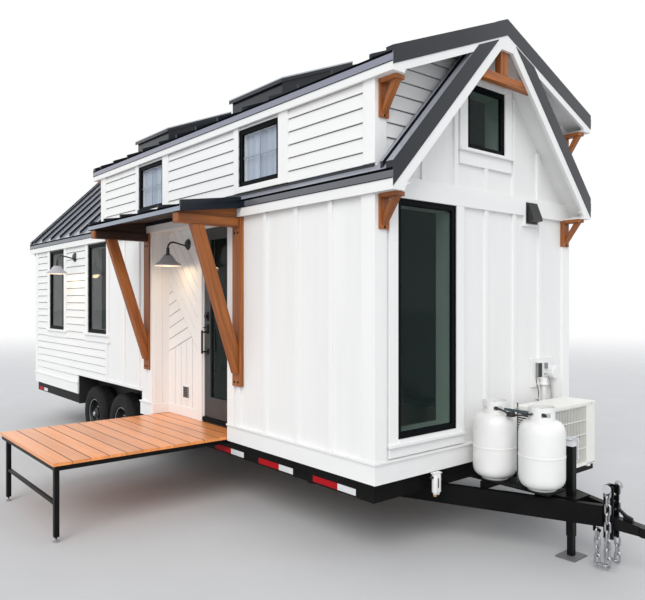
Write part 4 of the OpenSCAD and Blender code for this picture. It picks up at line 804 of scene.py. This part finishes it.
def open_inlet(b):
    """The plate with its open box, plug pins and lid."""
    strips(b, "front", (650, 1000, 1092, 1339, 20, 0.5), (707, 852, 1166, 1308, 42, 19))
    strip(b, "front", 713, 772, 1176, 1301, 43.5, 41, mat=2)
    b.box(42, 50, 774, 850, 1180, 1304, mat=3)
    b.box(50, 62, 800, 838, 1250, 1298, mat=1)
    b.box(50, 56, 798, 824, 1196, 1206, mat=1)
    b.box(19, 44, 706.4, 707.4, 1168, 1306, mat=1)


def round_inlet(b):
    """The round cover with ribs round its rim."""
    y, z, ribs = 902, 1212, 16
    cover = [(56, 0), (56, 8), (52, 10), (52, 46), (58, 48), (58, 80), (52, 86), (0, 87)]
    b.turned((20, y, z), (1, 0, 0), cover, n=48)
    for i in range(ribs):
        dy, dz = circle(58, i, ribs)
        b.rod((70, y + dy, z + dz), (98, y + dy, z + dz), 2.5, n=8)


def wall_lines(b):
    """Two covered lines down to the skirt, and a thin one behind the outdoor unit."""
    b.turned((42, 796, 1104), UP, [(32, 0), (36, 4), (36, 16), (33, 20), (33, 62), (0, 62)], n=40)
    b.tube([(42, 796, 1106), (41, 799, 1060), (38, 806, 1010), (36, 812, 950), (34, 814, 860),
            (34, 814, 736)], 20, n=20)
    b.tube([(40, 946, 1168), (42, 958, 1130), (42, 972, 1080), (40, 986, 1030), (38, 998, 970),
            (36, 1004, 890), (34, 1004, 800), (34, 1004, 736)], 28, n=24)
    for y in (814, 1004):
        b.box(1, 64, y - 32, y + 32, 900, 916)
    b.tube([(23, 711, 1174), (23, 714, 1150), (23, 719, 1124), (23, 732, 1096), (23, 746, 1066),
            (23, 752, 1036), (22, 748, 1004), (22, 741, 970), (22, 738, 900)], 3.5, n=10, mat=2)
    for y, z in ((722, 1116), (744, 985)):
        b.box(1, 28, y - 7, y + 7, z, z + 5)


def inlet_fittings():
    b = Build(10)
    open_inlet(b)
    round_inlet(b)
    wall_lines(b)
    b.done("inlet_fittings", "plastic grey black silver", bevel=1.5,
           replaces=["inlet_box"])


# Cedar
def awning_z(y):
    """The height of the awning's slope at a place out from the middle."""
    return 2645 + (y + 1890) * 82 / 591


def awning_timber(bolts):
    """Posts, braces, beams with a cheek above, and the planks under the roof."""
    b = Build(11)
    brace = [(-1740, 2500), (-1630, 2500), (-1288, 1450), (-1288, 1205), (-1318, 1205)]
    y0, y1 = -1878, -1299.3
    cheek = [(y0, 2579), (y1, 2579), (y1, awning_z(y1) - 25), (y0, awning_z(y0) - 25)]
    for x in (-1710, -3550):
        b.box(x - 65.5, x + 65.5, -1288, -1250.2, 1090, 2588)
        for z, dx in ((1128, -28), (1128, 28), (2450, -28), (2450, 28)):
            bolts.bolt((x + dx, -1288, z), (0, -1, 0), r=7, h=6)
        b.prism_x(x - 36.5, x + 36.5, brace, along=(0, -400, 1270))
        # the left post's beam and cheek take the painted-shade cedar
        tone = 1 if x < -3000 else 0
        b.box(x - 44.5, x + 44.5, -1862, -1288, 2500, 2580, mat=tone)
        b.box(x - 44.5, x + 44.5, -1882, -1862, 2500, 2580)
        b.prism_x(x - 22, x + 22, cheek, mat=tone)
    # the planks under the awning's roof take the painted-shade cedar
    for i in range(6):
        a, c = -1882 + i * 97.1, -1882 + (i + 1) * 97.1 - 2
        plank = [(y, awning_z(y) - drop) for y, drop in ((a, 4.3), (c, 4.3), (c, 26), (a, 26))]
        b.prism_x(-3649, -1625, plank, mat=1)
    b.done("awning_timber", "cedar shaded", bevel=3.0,
           replaces=["awning_posts", "awning_braces", "awning_beams"])


def knee_timber(bolts):
    """A bracket with a slanting arm under each end of the main and dormer eaves."""
    b = Build(13)
    eave, high = FASCIA - 0.3, DORMER_FASCIA - 0.3
    for s in (-1, 1):
        y0, y1 = sorted((s * 1235, s * 1146))
        for x, way, top, tall in ((0, 1, eave, 243), (0, 1, high, 262), (X_DORMER, -1, high, 262),
                                  (X_REAR, -1, eave, 243)):
            for a, c, drop in ((0.2, 38, tall), (38.5, 185, 30)):
                b.box(*sorted((x + way * a, x + way * c)), y0, y1, top - drop, top)
            arm = ((37, 25 - tall), (37, 75 - tall), (125, -29), (173, -29))
            arm = [(x + way * a, top + z) for a, z in arm]
            b.prism_y(y0 + 18, y1 - 18, arm, along=(way * 110, 0, 160))
            bolts.bolt((x + way * 38, (y0 + y1) / 2, top - tall + 14), (way, 0, 0), r=6, h=5)
    b.done("knee_timber", "cedar", bevel=3.0, replaces=["knee_brackets"])


def gable_timber():
    """The collar tie and the king post."""
    b = Build(14)
    b.prism_x(130, 189.6, [(-400, 3562), (400, 3562), (336, 3630), (-336, 3630)])
    b.prism_x(131, 188.6, [(-50, 3631), (50, 3631), (50, 3912), (0, 3932), (-50, 3912)])
    b.done("gable_timber", "cedar", bevel=3.0, replaces=["gable_truss"])


def cedar():
    bolts = Build(12)
    awning_timber(bolts)
    knee_timber(bolts)
    bolts.done("timber_bolts", "steel")
    gable_timber()


# Lamps on the walls
def wall_lamps():
    """Bulbs with their light, bright rims and screws for the two barn lights."""
    b = Build(15)
    bulb = [(0, -6), (15, -8), (17, -28), (30, -60), (28, -76), (14, -88), (0, -90)]
    rim = [(134, -121.5), (139, -121.5), (140.5, -117), (138, -113), (134.5, -115), (134, -121.5)]
    for name, x, y in (("lamp_entry", -3005, Y_ENTRY), ("lamp_side", -5880, -Y_WALL)):
        c = (x, y - 250.3, 2331)
        b.turned(c, UP, bulb, n=24)
        b.turned(c, UP, rim, n=64, mat=1)
        for i in range(4):
            dx, dz = circle(52, i, 4, math.pi / 4)
            b.turned((x + dx, y - 22, 2446 + dz), (0, -1, 0), [(4, 0), (4, 3), (0, 4)], n=12, mat=2)
        light = bpy.data.lights.new(name + "_light", "POINT")
        light.energy, light.color, light.shadow_soft_size = 2.7, (1.0, 0.72, 0.42), 0.06
        put(name + "_light", light).location = ORIGIN + Vector((c[0], c[1], c[2] - 104)) / 1000
    b.done("lamp_bulbs", "bulb silver black")


# Running gear
def tread(b, centre):
    """A tyre with round grooves, notched shoulders and notched middle ribs."""
    n = 192
    half = [(190, -90), (210, -106), (245, -112), (270, -112.5), (285, -110), (325, -104.5), (336, -99),
            (348, -86), (356, -70), (359, -58), (350, -57), (350, -49), (360, -48), (360, -26), (351, -25),
            (351, -17), (360, -16)]
    profile = half + [(r, -w) for r, w in reversed(half)]
    k = len(profile)
    pts, faces = [], []
    for i in range(n):
        for r, w in profile:
            if abs(w) > 58 and 345 < r < 359.5 and i % 4 == 0:
                r -= 7
            elif abs(w) <= 48 and r == 360 and i % 8 == (0 if w < 0 else 4):
                r -= 6
            x, z = circle(r, i, n)
            pts.append(centre + Vector((x, w, z)))
        j = (i + 1) % n
        for c in range(k):
            d = (c + 1) % k
            faces.append([i * k + c, i * k + d, j * k + d, j * k + c])
    b.solid(pts, faces, smooth=True, along=(0, 1, 0))


def hub_fittings(b, centre, out):
    """A bright rim, the hub cap and six nuts on the side that faces out."""
    rim = [(183, -6), (190.5, -4), (191, 0), (188, 2.5), (183, 1), (183, -6)]
    b.turned(centre + out * 90, out, rim, n=72)
    b.turned(centre + out * 94, out, [(30, 0), (30, 8), (26, 14), (0, 17)], n=36)
    for i in range(6):
        x, z = circle(88, i, 6)
        at = centre + out * 18 + Vector((x, 0, z))
        b.turned(at, out, [(13, 0), (13, 3), (10, 4), (10, 20), (7, 24), (0, 25)], n=18)


def wheels():
    for side, s in SIDES:
        for end, e in (("front", 1), ("rear", -1)):
            centre = Vector((AXLES + e * 432.5, s * 1112.5, 360))
            body = f"wheel_{side}_{end}_turning"
            b = Build(16)
            tread(b, centre)
            b.done(f"tyre_{side}_{end}_tread", "rubber", body=body,
                   replaces=[f"tyre_{side}_{end}"])
            b = Build(17)
            hub_fittings(b, centre, Vector((0, s, 0)))
            b.done(f"wheel_{side}_{end}_fittings", "zinc", body=body)


# Trailer
def reflector_tape():
    b = Build(18)
    runs = ((-2165, -1886, -1676), (-1442, -1147, -956), (-700, -412, -214), (-7560, -7330, -7160))
    for s in (-1, 1):
        y0, y1 = sorted((s * 1230, s * 1231.2))
        for red, white, end in runs:
            b.box(red, white, y0, y1, 452, 500)
            b.box(white, end, y0, y1, 452, 500, mat=1)
    for y in (-1150, -600, 380, 930):
        b.box(X_REAR - 1.2, X_REAR, y, y + 130, 452, 500)
        b.box(X_REAR - 1.2, X_REAR, y + 130, y + 220, 452, 500, mat=1)
    b.done("reflector_tape", "red silver")


def tail_lamps():
    b = Build(19)
    for s in (-1, 1):
        at = (X_REAR, s * 1130, 530)
        b.turned(at, (-1, 0, 0), [(40, 0), (40, 14), (36, 18), (36, 22), (0, 27)], n=36, mat=1)
        b.turned(at, (-1, 0, 0), [(46, 0), (46, 10), (42, 14), (0, 14)], n=36)
    b.done("tail_lamps", "black red")


# Tongue
TANKS, Y_TANKS = (230, 630), -190


def tank_heads():
    """Rounder heads over the tanks' shells."""
    b = Build(19)
    foot = [(0, 15), (101, 15), (120, 19), (135, 27), (147, 39), (156, 54), (161.5, 73), (163.4, 95)]
    head = [(163.4, 397), (161.5, 422), (156, 445), (147, 463), (134, 478), (117, 488), (98, 493), (88, 494)]
    for x in TANKS:
        b.turned((x, Y_TANKS, 500.3), UP, foot + head + [(0, 490)], n=72)
    b.done("tank_heads", "tank")


def valves_and_regulator():
    """Valves, the threaded rod that holds the tanks down, and the regulator with its pipes."""
    b = Build(20)
    y = Y_TANKS
    for x in TANKS:
        b.rod((x, y, 1005), (x, y, 1056), 15, n=24, mat=1)
        b.rod((x, y, 1034), (x + 52, -234, 1034), 12, n=20)
        b.rod((x - 12, -182, 1034), (x + 70, -252, 1034), 8, n=20)
        b.turned((x, y, 1054), UP, [(30, 0), (34, 4), (34, 16), (27, 21), (0, 23)], n=9)
    b.rod((430, y, 500.5), (430, y, 1092), 5.5, n=14, mat=4)
    b.turned((430, y, 1046), UP, [(13, 0), (13, 8), (7, 11), (7, 14), (0, 14)], n=6, mat=3)
    b.box(324, 536, -206, -174, 1024, 1030, mat=4)
    b.box(324, 536, -206, -202, 1030, 1044, mat=4)
    regulator = [(28, -14), (34, -10), (34, 6), (26, 12), (26, 20), (0, 22)]
    b.turned((400, -228, 1004), UP, regulator, n=36)
    b.tube([(286, -238, 1038), (302, -252, 1039), (322, -258, 1038), (344, -256, 1032), (364, -246, 1022),
            (380, -236, 1012)], 7.5)
    b.tube([(608, -276, 1041), (600, -290, 1040), (582, -296, 1037), (556, -290, 1031), (524, -272, 1023),
            (488, -252, 1014), (452, -238, 1008), (430, -232, 1006)], 7.5)
    b.done("valves_and_regulator", "black brass grey zinc teal", bevel=0.8)


def drain_fitting():
    b = Build(21)
    body = [(14, -18), (14, -4), (22, 0), (24, 6), (24, 128), (20, 138), (0, 140)]
    for y in (-676, -646):
        b.turned((50, y, 432), UP, body, n=28)
    b.box(34, 66, -676, -646, 440, 560)
    b.rod((50, -676, 402), (50, -676, 420), 15, n=20, mat=2)
    b.rod((50, -646, 404), (50, -646, 420), 10, n=20, mat=1)
    b.box(30, 70, -702, -620, 570, 579)
    b.rod((50, -622, 520), (50, -606, 520), 11, n=20, mat=1)
    b.box(56, 76, -672, -662, 470, 540, mat=1)
    b.rod((50, -730, 548), (50, -698, 548), 9, mat=1)
    b.done("drain_fitting", "plastic black brass", bevel=1.5)


def jack_crank():
    """The crank's light housing: four plates, a gear box and its pin."""
    b = Build(27)
    for x0, x1, y0, y1 in ((722.5, 777.5, -27.5, -26.2), (722.5, 777.5, 26.2, 27.5),
                           (722.5, 723.8, -26.2, 26.2), (776.2, 777.5, -26.2, 26.2)):
        b.box(x0, x1, y0, y1, 800, 858)
    b.box(728, 772, 53, 70, 694, 836)
    b.turned((750, 70, 828), (0, 1, 0), [(20, 0), (20, 8), (15, 12), (0, 13)], n=28)
    b.rod((727, -30, 852), (773, -30, 852), 7)
    b.done("jack_crank", "silver", bevel=2)


# Deck
def deck_fittings():
    """Screws in the deck boards, and strips of painted shade in the gaps between them."""
    lo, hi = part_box("deck_boards")
    width = (hi[1] - lo[1] - (DECK_BOARDS - 1) * DECK_GAP) * 1000 / DECK_BOARDS
    x0, y0 = (lo[0] - ORIGIN.x) * 1000, (lo[1] - ORIGIN.y) * 1000
    length = (hi[0] - lo[0]) * 1000
    rows = [y0 + i * (width + 4) for i in range(DECK_BOARDS)]
    b = Build(22)
    for y in rows:
        for k in (0.02, 0.33, 0.67, 0.98):
            for f in (0.22, 0.78):
                at = (x0 + k * length, y + f * width, 609.6)
                b.turned(at, UP, [(4.2, 0), (4.2, 0.8), (3, 1.1), (0, 0.7)], n=10)
    b.done("deck_screws", "zinc")
    # painted shade: dark strips in the gaps between the boards
    b = Build(29)
    for y in rows[1:]:
        b.box(x0 + 1, x0 + length - 1, y - 6, y + 2, 600, 610.3)
    b.done("deck_gap_shade", "shaded")


# Lines on the roofs
def skylight_rims():
    """A thin bright edge along the top of the skylight lids."""
    b = Build(30)
    t = 1.5
    side = [(-y, 4211.2 - 0.40403 * y - d) for y, d in ((250, 1), (1080, 1), (1080, 11), (250, 11))]
    for x0 in (-4305, -2165):
        x1 = x0 + 850
        b.box(x0 - t, x1 + t, -1080 - t, -1080, 3764.5, 3774.5)
        b.box(x0 - t, x1 + t, -250, -250 + t, 4099, 4109)
        for x in (x0 - t, x1):
            b.prism_x(x, x + t, side)
    b.done("skylight_rims", "rim")


def eave_shadow_lines():
    """Painted shadow lines along the top and the foot of the drip edges on the door side."""
    b = Build(31)
    for x0, x1, y, low, top in ((-5102, 217, -1299, 3434.8, 3505.8), (-7837, -3660, -1299, 2663, 2734),
                                (-1614, 217, -1299, 2663, 2734), (-3657, -1617, -1890, 2585, 2645)):
        b.box(x0, x1, y - 0.8, y + 0.5, top - 17, top)
        b.box(x0, x1, y - 0.8, y + 0.5, low, low + 5)
    b.done("eave_shadow_lines", "shadow")


# Outdoor unit
def outdoor_unit():
    """The case's lid and edges, the slats, and the cover of the valves."""
    b = Build(23)
    x0, x1, y0, y1, z0, z1 = 135, 420, 215, 975, 462, 990
    b.box(x0 - 3, x1 + 5, y0 - 4, y1 + 4, z1 - 20, z1 + 4)
    b.box(x1 - 1, x1 + 2, 841, y1 - 3, z0 + 8, z1 - 24)
    b.box(x1 - 2, x1 + 2, y0 + 2, y1 - 2, z0 + 2, z0 + 14)
    b.box(x0 + 25, x1 - 30, y0 - 1.5, y0, z0 + 40, z1 - 36, mat=1)
    for i in range(24):
        z = z0 + 46 + i * 19
        b.box(x0 + 25, x1 - 30, y0 - 4, y0 - 1, z, z + 7)
    for y in (y0 + 60, y1 - 60):
        b.turned((x1 + 4, y, z1 - 10), (1, 0, 0), [(5, 0), (5, 2), (0, 3)], n=14, mat=2)
    b.box(x0 + 60, x0 + 150, y1 - 1, y1 + 14, z0 + 30, z0 + 220)
    b.done("unit_case_trim", "unit_trim black grey", bevel=1.5)


# Windows and door
def window_fittings():
    """Beads, outer lips and linings of the frames, and blinds in the dormers."""
    b = Build(25)
    liners = Build(28)
    rim = 42
    sides = SIDE_WINDOWS + DORMER_WINDOWS
    groups = (("door", sides), ("far", sides), ("front", (FRONT_WINDOW, LOFT_WINDOW)),
              ("rear", (REAR_WINDOW,)))
    for wall, windows in groups:
        tone = 2 if wall == "front" else 0
        for u0, u1, z0, z1 in windows:
            pane = (u0 + rim, u1 - rim, z0 + rim, z1 - rim)
            border(b, wall, *pane, 6, -3, -9.9)
            border(b, wall, u0 + 1, u1 - 1, z0 + 1, z1 - 1, 11, 13, 7)
            border(liners, wall, *pane, 3, -17, -150, out=1, mat=tone)
    for wall in ("door", "far"):
        at = WALLS[wall]
        for u0, u1, z0, z1 in DORMER_WINDOWS:
            folds = [(u0 + 46 + i * 12.7, -42 - 4 * math.cos(i * 0.85)) for i in range(41)]
            ring = folds + [(u, n - 2) for u, n in reversed(folds)]
            liners.loft([at(*p, z0 + 46) for p in ring], [at(*p, z1 - 46) for p in ring], mat=1)
    b.done("window_beads", "frame", bevel=0.8)
    liners.done("window_linings", "trim blind liner")


def door_beads():
    """The bead round the door's pane, and the kick plate below it."""
    b = Build(26)
    x0, x1 = -2677 + 100, -1937 - 100
    border(b, "entry", x0, x1, 668 + 190, 2580 - 100, 16, 4, -17)
    strip(b, "entry", x0, x1, 700, 836, 3)
    b.done("door_beads", "door", body="door", bevel=2.0)


camera()
lamps()
floor()
for key, names in CAD_MATERIALS.items():
    for name in names.split():
        slots = nodes[name].data.materials
        slots.clear()
        slots.append(M[key])
siding()
battens()
trims()
chevron_boards()
louvre_vent()
threshold()
vent_hood()
inlet_fittings()
cedar()
wall_lamps()
wheels()
reflector_tape()
tail_lamps()
tank_heads()
valves_and_regulator()
drain_fitting()
jack_crank()
deck_fittings()
skylight_rims()
eave_shadow_lines()
outdoor_unit()
window_fittings()
door_beads()

scene.view_settings.view_transform = "Standard"
